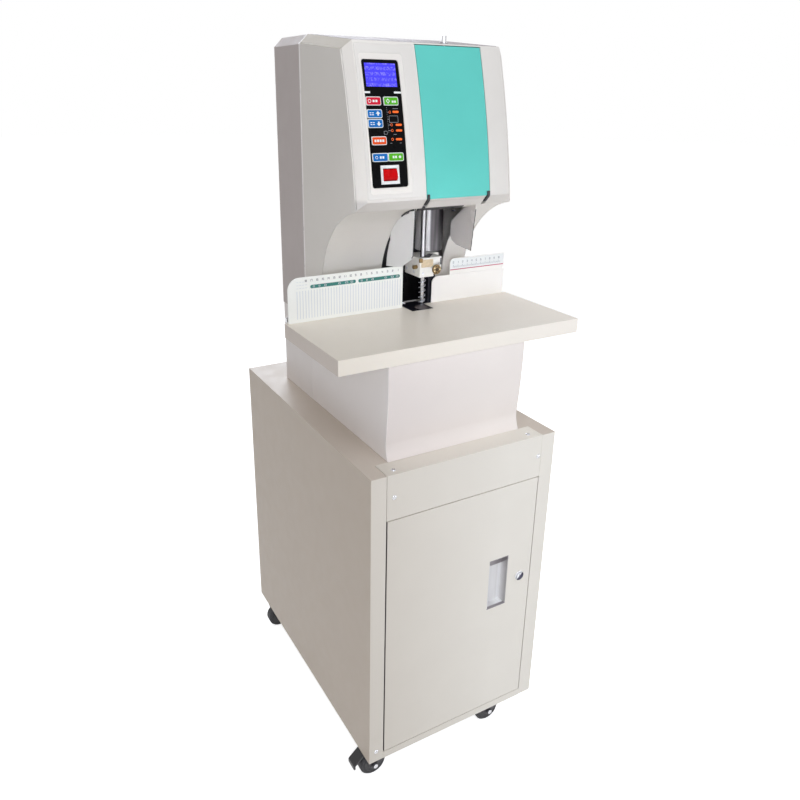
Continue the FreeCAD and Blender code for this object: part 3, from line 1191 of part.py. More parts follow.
def die_block():
    """Black die block in the table's notch, with the foot's square post, and its plastic pad."""
    front_part = box("die_front", ("notch_left + moving_gap", "table_rear - notch_depth + moving_gap",
                                   "arm_high"),
                     ("notch_width - 2 * moving_gap", "notch_depth + die_lap", "die_high - arm_high"))
    rear_part = box("die_rear_part", ("notch_left + moving_gap", "table_rear + fence_thick + moving_gap",
                                      "arm_high"),
                    ("die_width - 2 * moving_gap", "front + die_rear - table_rear - fence_thick - moving_gap",
                     "die_high - arm_high"))
    post = box("die_post", ("post_x - post_width / 2", "post_y - post_deep / 2", "die_high - overrun"),
               ("post_width", "post_deep", "foot_low + foot_height - post_short - die_high + overrun"))
    pocket = bar("pad_pocket", "z", ("drill_offset", "drill_y", "pad_low"), "pad_radius + running_gap",
                 "pad_thick")
    spring_way = bar("spring_way", "z", ("column_x", "column_y", "arm_high - overrun"),
                     "spring_radius + wire_radius + moving_gap", "die_high - arm_high + 2 * overrun")
    keep(cut("die_block", fuse("die_body", front_part, rear_part, post), pocket, spring_way))
    keep(bar("drill_pad", "z", ("drill_offset", "drill_y", "pad_low"), "pad_radius", "pad_thick"))


def press_foot():
    """Sprung press foot that holds the paper round the drill, and its brass riveting fittings."""
    slim = box("foot_front_block", ("foot_left", "foot_y", "foot_low"),
               ("right_fence_left - 2 * moving_gap - foot_left", "foot_depth", "foot_height"))
    wide = box("foot_rear_block", ("foot_left", "table_rear + moving_gap", "foot_low"),
               ("foot_width", "foot_y + foot_depth - table_rear - moving_gap", "foot_height"))
    drill_way = bar("foot_drill_way", "z", ("drill_offset", "drill_y", "foot_low - overrun"), "foot_hole",
                    "foot_height + 2 * overrun")
    column_way = bar("foot_column_way", "z", ("column_x", "column_y", "foot_low - overrun"),
                     "column_radius + running_gap", "foot_height + 2 * overrun")
    post_way = box("foot_post_way", ("post_x - post_width / 2 - moving_gap",
                                     "post_y - post_deep / 2 - moving_gap",
                                     "foot_low - overrun"),
                   ("post_width + 2 * moving_gap", "post_deep + 2 * moving_gap", "foot_height + 2 * overrun"))
    slot = box("foot_slot", ("foot_left + foot_slot_left", "foot_y - overrun",
                             "foot_low + foot_height - foot_slot_drop"),
               ("foot_slot_width", "foot_slot_depth + overrun", "foot_slot_height"))
    step = box("foot_step", ("foot_left + foot_step_left", "foot_y - overrun", "foot_low - overrun"),
               ("foot_width", "foot_step_depth + overrun", "foot_step_height + overrun"))
    keep(cut("press_foot", fuse("foot_body", slim, wide), drill_way, column_way, post_way, slot, step))
    tip = bar("brass_tip", "x", ("foot_left - tip_length", "foot_y + tip_setback", "foot_low + tip_rise"),
              "tip_radius", "tip_length")
    nut = bar("brass_nut", "y",
              ("foot_left + fitting_offset", "foot_y + fitting_setback", "foot_low + fitting_rise"),
              "fitting_radius", "fitting_length")
    keep(group("brass_fittings", tip, nut))


def return_spring():
    """Coil spring round its column, from the frame's arm up to the press foot."""
    wire = size("wire_radius")
    low = size("arm_high") + wire + size("moving_gap")
    high = size("foot_low") - wire - size("moving_gap")
    rise = high - low
    radius = size("spring_radius")
    path = Part.makeHelix(rise / size("spring_turns"), rise, radius)
    path.translate(Vec(size("column_x"), size("column_y"), low))
    start = Vec(size("column_x") + radius, size("column_y"), low)
    circle = Part.Wire(Part.makeCircle(wire, start, Vec(0, 1, 0)))
    coil = Part.Wire(path.Edges).makePipeShell([circle], True, True)
    keep(shaped("return_spring", coil))


def drive():
    """Lift motor and screw, carriage, drill motor and the hollow-drill spindle."""
    keep(bar("lift_motor", "z", ("lift_x", "lift_y", "bracket_low - lift_height"), "lift_radius",
             "lift_height"))
    keep(bar("lift_screw", "z", ("lift_x", "lift_y", "bracket_low + moving_gap"), "screw_radius",
             "bracket_span + bracket_thick - 2 * moving_gap"))
    beam = box("carriage_beam", ("frame_left", "guide_y - beam_deep / 2", "carriage_low"),
               ("frame_width", "beam_deep", "carriage_thick"))
    nose = box("carriage_nose", ("drill_offset - nose_width / 2", "drill_y - nose_width / 2", "carriage_low"),
               ("nose_width", "guide_y - drill_y + nose_width / 2", "carriage_thick"))
    nut = box("carriage_nut", ("lift_x - nut_width / 2", "lift_y - nut_ahead", "carriage_low"),
              ("nut_width", "guide_y - lift_y + nut_ahead", "carriage_thick"))
    ways = [bar("spindle_way", "z", ("drill_offset", "drill_y", "carriage_low - overrun"),
                "spindle_radius + running_gap", "carriage_thick + 2 * overrun"),
            bar("nut_way", "z", ("lift_x", "lift_y", "carriage_low - overrun"),
                "screw_radius + running_gap", "carriage_thick + 2 * overrun")]
    for side in (-1, 1):
        ways.append(bar("rod_way", "z", ("drill_offset + %d * guide_spread" % side, "guide_y",
                                         "carriage_low - overrun"),
                        "guide_radius + running_gap", "carriage_thick + 2 * overrun"))
    keep(cut("carriage", fuse("carriage_body", beam, nose, nut), *ways))
    keep(bar("drill_motor", "z", ("drill_offset", "drill_y", "carriage_high"), "motor_radius",
             "motor_height"))
    keep(turned("spindle", "z", ("drill_offset", "drill_y", "0"),
                [("bit_radius", "spindle_low"), ("spindle_radius - spindle_taper", "spindle_low"),
                 ("spindle_radius", "spindle_low + spindle_taper_height"),
                 ("spindle_radius", "carriage_low - moving_gap - collar_height"),
                 ("collar_radius", "carriage_low - moving_gap - collar_height"),
                 ("collar_radius", "carriage_low - moving_gap"),
                 ("spindle_radius", "carriage_low - moving_gap"),
                 ("spindle_radius", "carriage_high - moving_gap"), ("bit_bore", "carriage_high - moving_gap"),
                 ("bit_bore", "bit_tip + bit_length"), ("bit_radius", "bit_tip + bit_length")]))
    keep(turned("hollow_drill", "z", ("drill_offset", "drill_y", "0"),
                [("bit_bore", "bit_tip"), ("bit_radius - bit_taper", "bit_tip"),
                 ("bit_radius", "bit_tip + bit_taper_height"),
                 ("bit_radius", "bit_tip + bit_length"), ("bit_bore", "bit_tip + bit_length")]))


def guards():
    """Two clear guards beside the drill, clipped to the head's underside and throat."""
    solids = []
    wall = size("guard_thick")
    low = size("crease") - size("guard_drop")
    front = size("front") + size("guard_front")
    back = front + size("guard_depth")
    top = size("crease")
    shell = head_solid(0.0)
    for side in (-1, 1):
        left = size("drill_offset") + side * size("guard_spread") - wall / 2
        corners = [Vec(left, front, top), Vec(left, front, low),
                   Vec(left, back - size("guard_toe_back"), low - size("guard_toe_drop")),
                   Vec(left, back, low + size("guard_heel_rise")),
                   Vec(left, back, low + size("guard_rear_rise")),
                   Vec(left, back - size("guard_slope_back"), low + size("guard_slope_rise")),
                   Vec(left, back - size("guard_top_back"), top)]
        sheet_solid = Part.Face(Part.makePolygon(corners + corners[:1])).extrude(Vec(wall, 0, 0))
        solids.append(sheet_solid.cut(shell).Solids[0])
    keep(shaped("drill_guards", Part.Compound(solids)))


def inlets():
    """Tube inlet on top of the head and power socket in the back."""
    pipe = bar("inlet_pipe", "z", ("inlet_offset", "inlet_y", "brow - inlet_sunk"), "inlet_radius",
               "inlet_proud + inlet_sunk")
    ring = bar("inlet_ring", "z", ("inlet_offset", "inlet_y", "brow + ring_rise"),
               "inlet_radius + ring_width", "ring_height")
    bore = bar("inlet_bore_way", "z", ("inlet_offset", "inlet_y", "brow - inlet_sunk - overrun"),
               "inlet_bore",
               "inlet_proud + inlet_sunk + 2 * overrun")
    keep(cut("tube_inlet", fuse("inlet_body", pipe, ring), bore))

    middle = "cabinet_top + socket_rise"
    left = "cabinet_mid - socket_width / 2"
    outer = box("socket_body", (left, "back_y - socket_depth", middle + " - socket_height / 2"),
                ("socket_width", "socket_depth + socket_proud", "socket_height"))
    room = box("socket_room", (left + " + socket_rim", "back_y - well_depth", middle + " - well_height / 2"),
               ("socket_width - 2 * socket_rim", "well_depth + 2 * socket_proud", "well_height"))
    pins = [box("socket_pin", ("cabinet_mid - blade_thick / 2 + %d * blade_pitch" % side,
                               "back_y - well_depth - overrun", middle + " - blade_height / 2"),
                ("blade_thick", "blade_length", "blade_height"))
            for side in (-1, 0, 1)]
    keep(fuse("power_socket", cut("socket_case", outer, room), *pins))


def screws():
    """Visible screw heads on the cabinet."""
    head_y = "front - screw_proud"
    spots = [("y", ("opening_left + cover_screw_left", head_y, "cabinet_top - cover_height / 2")),
             ("y", ("opening_left + opening_width - cover_screw_right", head_y,
                    "cabinet_top - cover_height / 2")),
             ("y", ("side_left + front_flange / 2", head_y, "caster_height + flange_screw_rise")),
             ("z", ("opening_left + top_screw_left", "front + top_screw_setback", "cabinet_top")),
             ("z", ("opening_left + opening_width - top_screw_right", "front + top_screw_setback",
                    "cabinet_top"))]
    keep(group("cabinet_screws", *[bar("screw", axis, spot, "screw_head", "screw_proud") for axis,
                                   spot in spots]))


# ---------------------------------------------------------------- build and write


def check():
    """Stop if any object failed or any sub-part is empty or invalid."""
    doc.recompute()
    for item in doc.Objects:
        if "Invalid" in item.State or "Error" in item.State:
            raise RuntimeError("failed: " + item.Name)
    for item in NODES:
        if item.Shape.isNull() or not item.Shape.isValid() or not item.Shape.Solids:
            raise RuntimeError("bad shape: " + item.Label)


def write():
    """Write each sub-part to parts/NODE.step."""
    os.makedirs("parts", exist_ok=True)
    for item in NODES:
        item.Shape.exportStep(os.path.join("parts", item.Label + ".step"))


fill_sheet()
cabinet()
door()
casters()
base_shell()
rear_shell()
front_shell()
tube_cover()
control_panel()
worktable()
fences()
machine_frame()
die_block()
press_foot()
return_spring()
drive()
guards()
inlets()
screws()
check()
write()
print(len(NODES), "sub-parts written")
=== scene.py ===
import bmesh
import bpy
import json
import math
from collections import namedtuple
from mathutils import Matrix, Vector


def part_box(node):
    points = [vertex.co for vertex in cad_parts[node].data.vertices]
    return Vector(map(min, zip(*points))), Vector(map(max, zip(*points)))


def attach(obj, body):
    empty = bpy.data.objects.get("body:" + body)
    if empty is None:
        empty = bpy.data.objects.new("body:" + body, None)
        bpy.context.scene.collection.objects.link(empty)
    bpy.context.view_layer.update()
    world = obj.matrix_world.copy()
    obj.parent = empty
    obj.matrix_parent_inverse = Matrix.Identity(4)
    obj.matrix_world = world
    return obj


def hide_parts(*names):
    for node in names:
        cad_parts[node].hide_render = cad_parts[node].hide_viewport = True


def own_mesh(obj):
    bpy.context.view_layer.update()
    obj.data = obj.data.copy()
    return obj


# Document riveting machine. Lengths are millimetres and are turned into metres where a mesh is made.
# Materials measure in metres in the part's own frame, so that tones stay in place on a moving piece.

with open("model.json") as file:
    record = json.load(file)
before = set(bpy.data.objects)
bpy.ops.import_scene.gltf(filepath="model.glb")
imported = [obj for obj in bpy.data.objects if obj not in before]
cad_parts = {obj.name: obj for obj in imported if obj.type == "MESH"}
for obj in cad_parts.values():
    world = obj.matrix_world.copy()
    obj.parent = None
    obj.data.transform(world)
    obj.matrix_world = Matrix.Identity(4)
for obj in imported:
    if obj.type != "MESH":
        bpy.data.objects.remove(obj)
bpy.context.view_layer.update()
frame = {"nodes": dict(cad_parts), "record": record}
MM = 0.001
TURN = 2 * math.pi
Sides = namedtuple("Sides", "left right front back low high")


def sides(node):
    """Where a CAD node's box ends on its six sides at rest, in millimetres."""
    return Sides(*[round(value / MM, 2) for ends in zip(*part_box(node)) for value in ends])


def middle(node):
    """The middle of a CAD node's box at rest, in millimetres."""
    box = sides(node)
    return (box.left + box.right) / 2, (box.front + box.back) / 2, (box.low + box.high) / 2


HEAD = sides("front_shell")

# ---------------------------------------------------------------- materials

GRAIN_DEPTH = 0.0004
PAINT_SPEC = 0.35
UPRIGHT = (1, 1, 0.05)
NO_STRETCH = (1, 1, 1)


def linear(red, green, blue):
    """A screen colour, 0 to 255, as the linear colour that a shader takes."""
    parts = []
    for value in (red, green, blue):
        share = value / 255
        parts.append(share / 12.92 if share <= 0.04045 else ((share + 0.055) / 1.055) ** 2.4)
    return (*parts, 1.0)


def shade(colour, factor):
    """A linear colour made lighter or darker."""
    return (*[min(1.0, part * factor) for part in colour[:3]], 1.0)


class Nodes:
    """A material's node tree with short calls for what every material here uses."""

    def __init__(self, name):
        self.material = bpy.data.materials.new(name)
        self.material.use_nodes = True
        self.tree = self.material.node_tree
        self.shader = self.tree.nodes["Principled BSDF"]
        self.coords = self.add("ShaderNodeTexCoord").outputs["Object"]

    def feed(self, socket, value):
        """Link another node's output to a socket, or give the socket a plain value."""
        if hasattr(value, "is_linked"):
            self.tree.links.new(value, socket)
        else:
            socket.default_value = value

    def add(self, kind, **inputs):
        """A new node; an input's name has _ where its socket's name has a space."""
        node = self.tree.nodes.new(kind)
        for key, value in inputs.items():
            self.feed(node.inputs[key.replace("_", " ")], value)
        return node

    def set(self, **inputs):
        """Sockets of the shader itself."""
        for key, value in inputs.items():
            self.feed(self.shader.inputs[key.replace("_", " ")], value)

    def place(self):
        """The place in the part's frame, as its x, y and z."""
        split = self.add("ShaderNodeSeparateXYZ", Vector=self.coords)
        return [split.outputs[axis] for axis in "XYZ"]

    def noise(self, size, detail=2.0, stretch=NO_STRETCH):
        """Noise with spots about size millimetres across, drawn out along an axis by stretch."""
        vector = self.coords
        if stretch != NO_STRETCH:
            vector = self.add("ShaderNodeMapping", Vector=vector, Scale=stretch).outputs["Vector"]
        return self.add("ShaderNodeTexNoise", Vector=vector, Scale=1000 / size, Detail=detail).outputs["Fac"]

    def ramp(self, value, low, high, to_low=0.0, to_high=1.0):
        node = self.add("ShaderNodeMapRange", Value=value, From_Min=low, From_Max=high, To_Min=to_low,
                        To_Max=to_high)
        return node.outputs["Result"]

    def spots(self, size, detail=2.0, low=0.0, high=1.0, stretch=NO_STRETCH):
        """Noise spread from a low to a high value."""
        return self.ramp(self.noise(size, detail, stretch), 0.3, 0.7, low, high)

    def gloss(self, rough):
        """Roughness that wanders a little about its value."""
        return self.spots(24.0, 4.0, rough - 0.05, rough + 0.05)

    def mix(self, share, first, second):
        node = self.tree.nodes.new("ShaderNodeMix")
        node.data_type = "RGBA"
        for index, value in ((0, share), (6, first), (7, second)):
            self.feed(node.inputs[index], value)
        return node.outputs[2]

    def math(self, operation, first, second):
        node = self.tree.nodes.new("ShaderNodeMath")
        node.operation = operation
        self.feed(node.inputs[0], first)
        self.feed(node.inputs[1], second)
        return node.outputs[0]

    def bump(self, height, strength, distance=GRAIN_DEPTH):
        node = self.add("ShaderNodeBump", Strength=strength, Distance=distance, Height=height)
        self.set(Normal=node.outputs["Normal"])


def surface(name, rgb, rough=0.5, metal=0.0, grain=0.0, grain_size=1.0, mottle=0.04, mottle_size=70.0,
            wear=0.0, coat=0.0, brush=NO_STRETCH, spec=0.5):
    """Painted, moulded or bare surface: mottled colour, uneven gloss, fine grain, and worn edges."""
    kit = Nodes(name)
    colour = linear(*rgb)
    paint = kit.mix(kit.spots(mottle_size, 3.0), shade(colour, 1 - mottle), shade(colour, 1 + mottle))
    if wear:
        edges = kit.ramp(kit.add("ShaderNodeNewGeometry").outputs["Pointiness"], 0.52, 0.6)
        worn = kit.math("MULTIPLY", edges, kit.ramp(kit.noise(6.0, 4.0), 0.45, 0.7, 0.0, wear))
        paint = kit.mix(worn, paint, shade(colour, 1.35 if sum(rgb) < 300 else 0.8))
    kit.set(Base_Color=paint, Metallic=metal, Specular_IOR_Level=spec, Roughness=kit.gloss(rough))
    if coat:
        kit.set(Coat_Weight=coat, Coat_Roughness=0.08)
    if grain:
        kit.bump(kit.noise(grain_size, 4.0, brush), grain)
    return kit.material


def glass(name, rgb, rough=0.1, share=0.6, ior=1.3, coat=0.0):
    """Clear or milky plastic sheet."""
    kit = Nodes(name)
    colour = linear(*rgb)
    kit.set(Base_Color=kit.mix(kit.spots(30.0), shade(colour, 0.96), colour),
            Roughness=kit.spots(60.0, 2.0, rough, rough + 0.03), Transmission_Weight=share, IOR=ior,
            Coat_Weight=coat, Coat_Roughness=0.15)
    kit.bump(kit.noise(40.0), 0.02, 0.0005)
    return kit.material


def coated(kit, tone, rough, grain, grain_size, blotch_rgb, blotch=0.03):
    """Finish a paint whose tone changes with place: faint blotches, uneven gloss and a fine grain."""
    kit.set(Base_Color=kit.mix(kit.spots(70.0, 3.0, 0.0, blotch), tone, linear(*blotch_rgb)),
            Specular_IOR_Level=PAINT_SPEC, Roughness=kit.gloss(rough))
    kit.bump(kit.noise(grain_size, 4.0), grain)
    return kit.material


def graded(name, shaded_rgb, lit_rgb, node, rough=0.4, painted_side_rgb=None, painted_top_rgb=None):
    """Paint with painted light: paler from a node's left to its right, as if lit from the right; its left
    side and its top may take their own painted tone, darker for painted shade and paler for painted light.
    """
    lit_share, skin, under_skin = 0.75, 0.0002, 0.0009
    kit = Nodes(name)
    x, _, z = kit.place()
    low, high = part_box(node)
    pale = low.x + lit_share * (high.x - low.x)
    # The paling from left to right is painted light.
    tone = kit.mix(kit.ramp(x, low.x, pale), linear(*shaded_rgb), linear(*lit_rgb))
    if painted_top_rgb:
        tone = kit.mix(kit.ramp(z, high.z - under_skin, high.z - skin), tone, linear(*painted_top_rgb))
    if painted_side_rgb:
        tone = kit.mix(kit.ramp(x, low.x + skin, low.x + under_skin), linear(*painted_side_rgb), tone)
    return coated(kit, tone, rough, 0.15, 1.2, (150, 142, 136))


def front_housing(name, side=False):
    """Paint of the head's front: palest with painted light at the face's left, with painted shade on the lip
    and the top's left slope.
    """
    lip_low, slope_rise, slope_level = 0.0165, 0.098, 1.3456
    side_x = (sides("head_side_left").left + 0.1) * MM
    kit = Nodes(name)
    x, y, z = kit.place()
    low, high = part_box("front_shell")
    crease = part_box("tube_cover")[0].z
    plain = linear(233, 228, 221)
    across = kit.ramp(x, low.x, high.x)
    # The face's paling towards its left is painted light; the lip's darker tone is painted shade.
    face = kit.mix(across, linear(244, 238, 230), linear(229, 224, 217))
    lip = kit.mix(across, linear(218, 212, 206), linear(227, 222, 215))
    tone = kit.mix(kit.ramp(z, crease - 0.001, crease + 0.005), lip, face)
    tone = kit.mix(kit.ramp(z, crease - lip_low, crease - lip_low + 0.001), plain, tone)
    # Painted shade on the top's left slope.
    slope = kit.math("SUBTRACT", kit.math("SUBTRACT", z, x), kit.math("MULTIPLY", y, slope_rise))
    tone = kit.mix(kit.ramp(slope, slope_level, slope_level + 0.0005), tone, linear(217, 210, 198))
    if side:
        tone = kit.mix(kit.ramp(x, side_x, side_x + 0.0003), plain, tone)
    return coated(kit, tone, 0.4, 0.2, 1.0, (150, 144, 140))


def rear_housing(name):
    """Paint of the rear shell: greyer with painted shade on the head, paler with painted light on the base
    below it.
    """
    table_z = (sides("base_shell").high - 0.5) * MM
    kit = Nodes(name)
    z = kit.place()[2]
    # The head's greyer tone is painted shade, and the base's paler tone is painted light.
    tone = kit.mix(kit.ramp(z, table_z, table_z + 0.001), linear(249, 243, 240), linear(194, 184, 181))
    return coated(kit, tone, 0.45, 0.25, 1.4, (150, 142, 140), 0.06)


def cup_finish(name):
    """Pressed steel of the handle cup: painted shade under its rim and at its sides, with one bright streak
    of painted highlight.
    """
    cup = sides("door_cup")
    left_x, middle_x, wall_x = [(cup.right - inset) * MM for inset in (25.0, 13.0, 2.0)]
    highlight_low, highlight_high = [(cup.right - inset) * MM for inset in (8.8, 3.8)]
    mouth_y, sill_y, floor_y = (cup.front + 2.0) * MM, (cup.front + 6.0) * MM, cup.back * MM
    sill_z = (cup.low + 2.5) * MM
    rim_shade_level = (cup.high + cup.front - 8.5) * MM
    kit = Nodes(name)
    x, y, z = kit.place()
    # Painted shade towards the cup's left side.
    tone = kit.mix(kit.ramp(x, left_x, middle_x), linear(222, 220, 220), linear(246, 245, 244))
    # The bright streak is a painted highlight.
    streak = kit.math("MULTIPLY", kit.ramp(x, highlight_low, highlight_low + 0.001),
                      kit.ramp(x, highlight_high, highlight_high - 0.0008))
    tone = kit.mix(streak, tone, linear(255, 255, 255))
    # Painted shade on the cup's right wall, darker towards its mouth.
    wall = kit.mix(kit.ramp(y, floor_y, mouth_y), linear(242, 240, 240), linear(178, 174, 173))
    tone = kit.mix(kit.ramp(x, wall_x, wall_x + 0.0003), tone, wall)
    # Painted shade along the cup's sill and under its rim.
    sill_shade = kit.math("MULTIPLY", kit.ramp(z, sill_z, sill_z - 0.0005), kit.ramp(y, sill_y, sill_y - 0.002))
    rim = kit.math("MAXIMUM", kit.ramp(kit.math("ADD", z, y), rim_shade_level, rim_shade_level + 0.0015), sill_shade)
    tone = kit.mix(rim, tone, linear(150, 144, 146))
    kit.set(Base_Color=kit.mix(kit.spots(8.0, 3.0, 0.0, 0.04, UPRIGHT), tone, linear(120, 116, 116)),
            Metallic=0.1, Roughness=kit.gloss(0.37))
    kit.bump(kit.noise(3.0, 4.0, UPRIGHT), 0.03)
    return kit.material


def lock_finish(name):
    """Polished face of the lock: a painted highlight, white at its upper left, and painted shade, dark at its
    lower right.
    """
    plug_x, _, plug_z = middle("lock_barrel")
    half_way = (plug_x - plug_z - 0.5) * MM
    kit = Nodes(name)
    x, _, z = kit.place()
    tone = kit.mix(kit.ramp(kit.math("SUBTRACT", x, z), half_way - 0.001, half_way + 0.001),
                   linear(252, 252, 255), linear(62, 58, 84))
    kit.set(Base_Color=kit.mix(kit.spots(5.0, 3.0, 0.0, 0.08), tone, linear(120, 120, 132)),
            Metallic=0.2, Roughness=kit.spots(10.0, 3.0, 0.22, 0.3))
    return kit.material


def chromed(name):
    """Chromed rod with a painted reflection: pale down its middle and dark towards its sides, as among the
    dark parts round it.
    """
    kit = Nodes(name)
    facing = kit.add("ShaderNodeLayerWeight", Blend=0.5).outputs["Facing"]
    tone = kit.mix(kit.ramp(facing, 0.05, 0.2), linear(236, 234, 236), linear(46, 42, 46))
    streak = kit.math("MULTIPLY", kit.spots(3.0, 3.0, stretch=UPRIGHT), 0.15)
    kit.set(Base_Color=kit.mix(streak, tone, linear(120, 118, 122)), Metallic=0.35, Roughness=0.22)
    kit.bump(kit.noise(2.0, 3.0, UPRIGHT), 0.05, 0.0002)
    return kit.material


def motor_can(name):
    """Drawn steel can: bright with painted light on its left, dark with painted shade on its right, with fine
    upright drawing marks.
    """
    lit_end, grey_start, grey_end, shade_start = [
        (sides("lift_motor").left + inset) * MM for inset in (5.0, 13.0, 16.0, 31.0)]
    kit = Nodes(name)
    across = kit.math("ADD", kit.place()[0], kit.spots(5.0, 4.0, -0.004, 0.004, (1, 1, 0.02)))
    tone = kit.mix(kit.ramp(across, lit_end, grey_start), linear(250, 246, 244), linear(116, 111, 113))
    tone = kit.mix(kit.ramp(across, grey_end, shade_start), tone, linear(34, 30, 33))
    streaks = kit.ramp(kit.noise(3.5, 2.0, (1, 1, 0.01)), 0.5, 0.62, 0.0, 0.45)
    kit.set(Base_Color=kit.mix(streaks, tone, linear(40, 36, 40)), Metallic=0.3,
            Roughness=kit.spots(8.0, 4.0, 0.34, 0.46))
    kit.bump(kit.noise(1.5, 4.0, (1, 1, 0.03)), 0.2, 0.0003)
    return kit.material


def glowing(name, rgb, strength):
    """Lamp lens: its own colour, brighter in the middle patches."""
    kit = Nodes(name)
    colour = linear(*rgb)
    tone = kit.mix(kit.ramp(kit.noise(2.0), 0.35, 0.65), shade(colour, 0.75), colour)
    kit.set(Base_Color=tone, Emission_Color=tone, Emission_Strength=strength, Roughness=0.3)
    return kit.material


def display(name):
    """Blue-violet liquid crystal window with soft rows of paler cells."""
    row_pitch = 7.4
    kit = Nodes(name)
    row = kit.math("FRACT", kit.math("MULTIPLY", kit.place()[2], 1000 / row_pitch), 0.0)
    rows = kit.math("MULTIPLY", kit.ramp(row, 0.12, 0.3), kit.ramp(row, 0.9, 0.72))
    cells = kit.ramp(kit.noise(2.6, 1.0), 0.42, 0.6)
    patch = kit.ramp(kit.noise(9.0, 1.0), 0.35, 0.7, 0.25, 1.0)
    share = kit.math("MULTIPLY", kit.math("MULTIPLY", rows, cells), patch)
    tone = kit.mix(share, linear(54, 46, 226), linear(128, 122, 240))
    kit.set(Base_Color=tone, Emission_Color=tone, Emission_Strength=0.45, Roughness=0.12)
    return kit.material


# Shaded left and lit right tones of the cabinet's paint: painted light.
CABINET_SHADED_AND_LIT = (220, 212, 200), (240, 234, 223)
LOOKS = {
    "cabinet_paint": graded("cabinet_powder_coat", *CABINET_SHADED_AND_LIT, "cabinet_wrap", 0.42),
    "housing_plastic": surface("housing_paint", (233, 228, 221), 0.4, grain=0.2, mottle=0.02,
                               spec=PAINT_SPEC),
    "front_paint": front_housing("front_housing_paint"),
    "side_paint": front_housing("side_housing_paint", True),
    # The cabinet's left side and its top carry painted shade.
    "wrap_paint": graded("cabinet_wrap_paint", *CABINET_SHADED_AND_LIT, "cabinet_wrap", 0.42, (202, 188, 172),
                         (210, 198, 185)),
    # The door's left side is dark with painted shade, as in the gap on its hinge side.
    "door_paint": graded("door_powder_coat", *CABINET_SHADED_AND_LIT, "door_panel", 0.42, (70, 62, 58)),
    # The base's left side is paler with painted light.
    "base_paint": graded("base_housing_paint", (231, 221, 215), (244, 235, 228), "base_shell", 0.4,
                         (251, 245, 242)),
    "rear_paint": rear_housing("rear_housing_paint"),
    # The table's left end is darker with painted shade.
    "table_paint": graded("table_powder_coat", (234, 225, 211), (249, 241, 229), "worktable", 0.34,
                          (214, 202, 191)),
    "fence_white": surface("fence_white", (247, 247, 241), 0.35, grain=0.1, mottle=0.01),
    "fence_pale": surface("right_fence_paint", (252, 248, 242), 0.36, grain=0.15, grain_size=1.2,
                          mottle=0.015, spec=PAINT_SPEC),
    "cup_steel": cup_finish("handle_cup_steel"),
    "bright_steel": surface("bright_steel", (205, 205, 208), 0.16, 1.0, grain=0.06, grain_size=2.0,
                            mottle=0.08, mottle_size=15.0),
    "fork_steel": surface("fork_black_steel", (52, 50, 54), 0.3, 0.4, grain=0.15, grain_size=2.0, mottle=0.12,
                          mottle_size=12.0, wear=0.5),
    "wheel_rubber": surface("wheel_rubber", (40, 39, 42), 0.62, grain=0.35, grain_size=1.5, mottle=0.25,
                            mottle_size=9.0, wear=0.5),
    "black_plastic": surface("black_plastic", (32, 31, 34), 0.42, grain=0.15, mottle=0.15, wear=0.3),
    "panel_black": surface("panel_black", (8, 8, 10), 0.3, grain=0.08, mottle=0.15, spec=0.06),
    "white_plastic": surface("white_plastic", (240, 240, 238), 0.28, grain=0.05, mottle=0.02, coat=0.2),
    "red_plastic": surface("red_plastic", (206, 2, 10), 0.25, grain=0.05, mottle=0.12, mottle_size=8.0,
                           spec=0.12),
    "frame_iron": surface("frame_iron", (60, 58, 60), 0.55, 0.3, grain=0.4, grain_size=2.5, mottle=0.15,
                          wear=0.4),
    "black_steel": surface("blued_steel", (34, 34, 44), 0.3, 0.6, grain=0.12, grain_size=2.0, mottle=0.2,
                           mottle_size=14.0, wear=0.6),
    "motor_steel": motor_can("motor_steel"),
    "rod_chrome": chromed("rod_chrome"),
    "spring_zinc": surface("spring_zinc", (206, 206, 212), 0.3, 0.3, grain=0.05, mottle=0.1, mottle_size=6.0),
    "lock_zinc": lock_finish("lock_zinc"),
    "pad_grey": surface("pad_grey", (92, 84, 84), 0.5, grain=0.3, grain_size=1.5, mottle=0.2,
                        mottle_size=6.0),
    "tan_fibre": surface("tan_fibre", (214, 194, 160), 0.55, grain=0.4, grain_size=1.2, mottle=0.12,
                         mottle_size=5.0),
    "brass_shade": surface("brass_shade", (58, 46, 30), 0.5, 0.4, mottle=0.2, mottle_size=4.0),
    "brass_glint": surface("brass_glint", (236, 224, 184), 0.3, 0.4, mottle=0.1, mottle_size=3.0),
    "carriage_aluminium": surface("carriage_aluminium", (176, 177, 180), 0.4, 0.9, grain=0.2, grain_size=1.5,
                                  brush=(0.1, 1, 1)),
    "white_paint": surface("foot_white_paint", (236, 233, 226), 0.4, grain=0.2, grain_size=1.2, wear=0.5),
    "brass": surface("brass", (134, 108, 68), 0.36, 0.6, grain=0.2, grain_size=1.5, mottle=0.3,
                     mottle_size=4.0),
    "teal_plastic": surface("teal_plastic", (96, 205, 193), 0.46, grain=0.3, grain_size=1.6, mottle=0.02),
    "clear_plastic": glass("clear_sheet", (226, 228, 230), 0.06, 0.85),
    "smoky_plastic": glass("smoky_sheet", (246, 240, 236), 0.25, 0.12, 1.5, 0.6),
    "milky_plastic": glass("milky_sheet", (250, 249, 248), 0.3, 0.08, 1.5, 0.6),
    "display_glass": display("display_glass"),
    "led_orange": glowing("led_orange", (240, 100, 20), 0.5),
    "seam_white": surface("seam_white", (255, 249, 247), 0.3, mottle=0.01, coat=0.4),
    # Painted shade for the sloping top of the head.
    "top_shade_grey": surface("top_shade_grey", (164, 155, 159), 0.5, grain=0.3, grain_size=1.2, mottle=0.05),
    "ink_dim": surface("ink_dim", (128, 122, 128), 0.5, mottle=0.1, mottle_size=8.0),
}
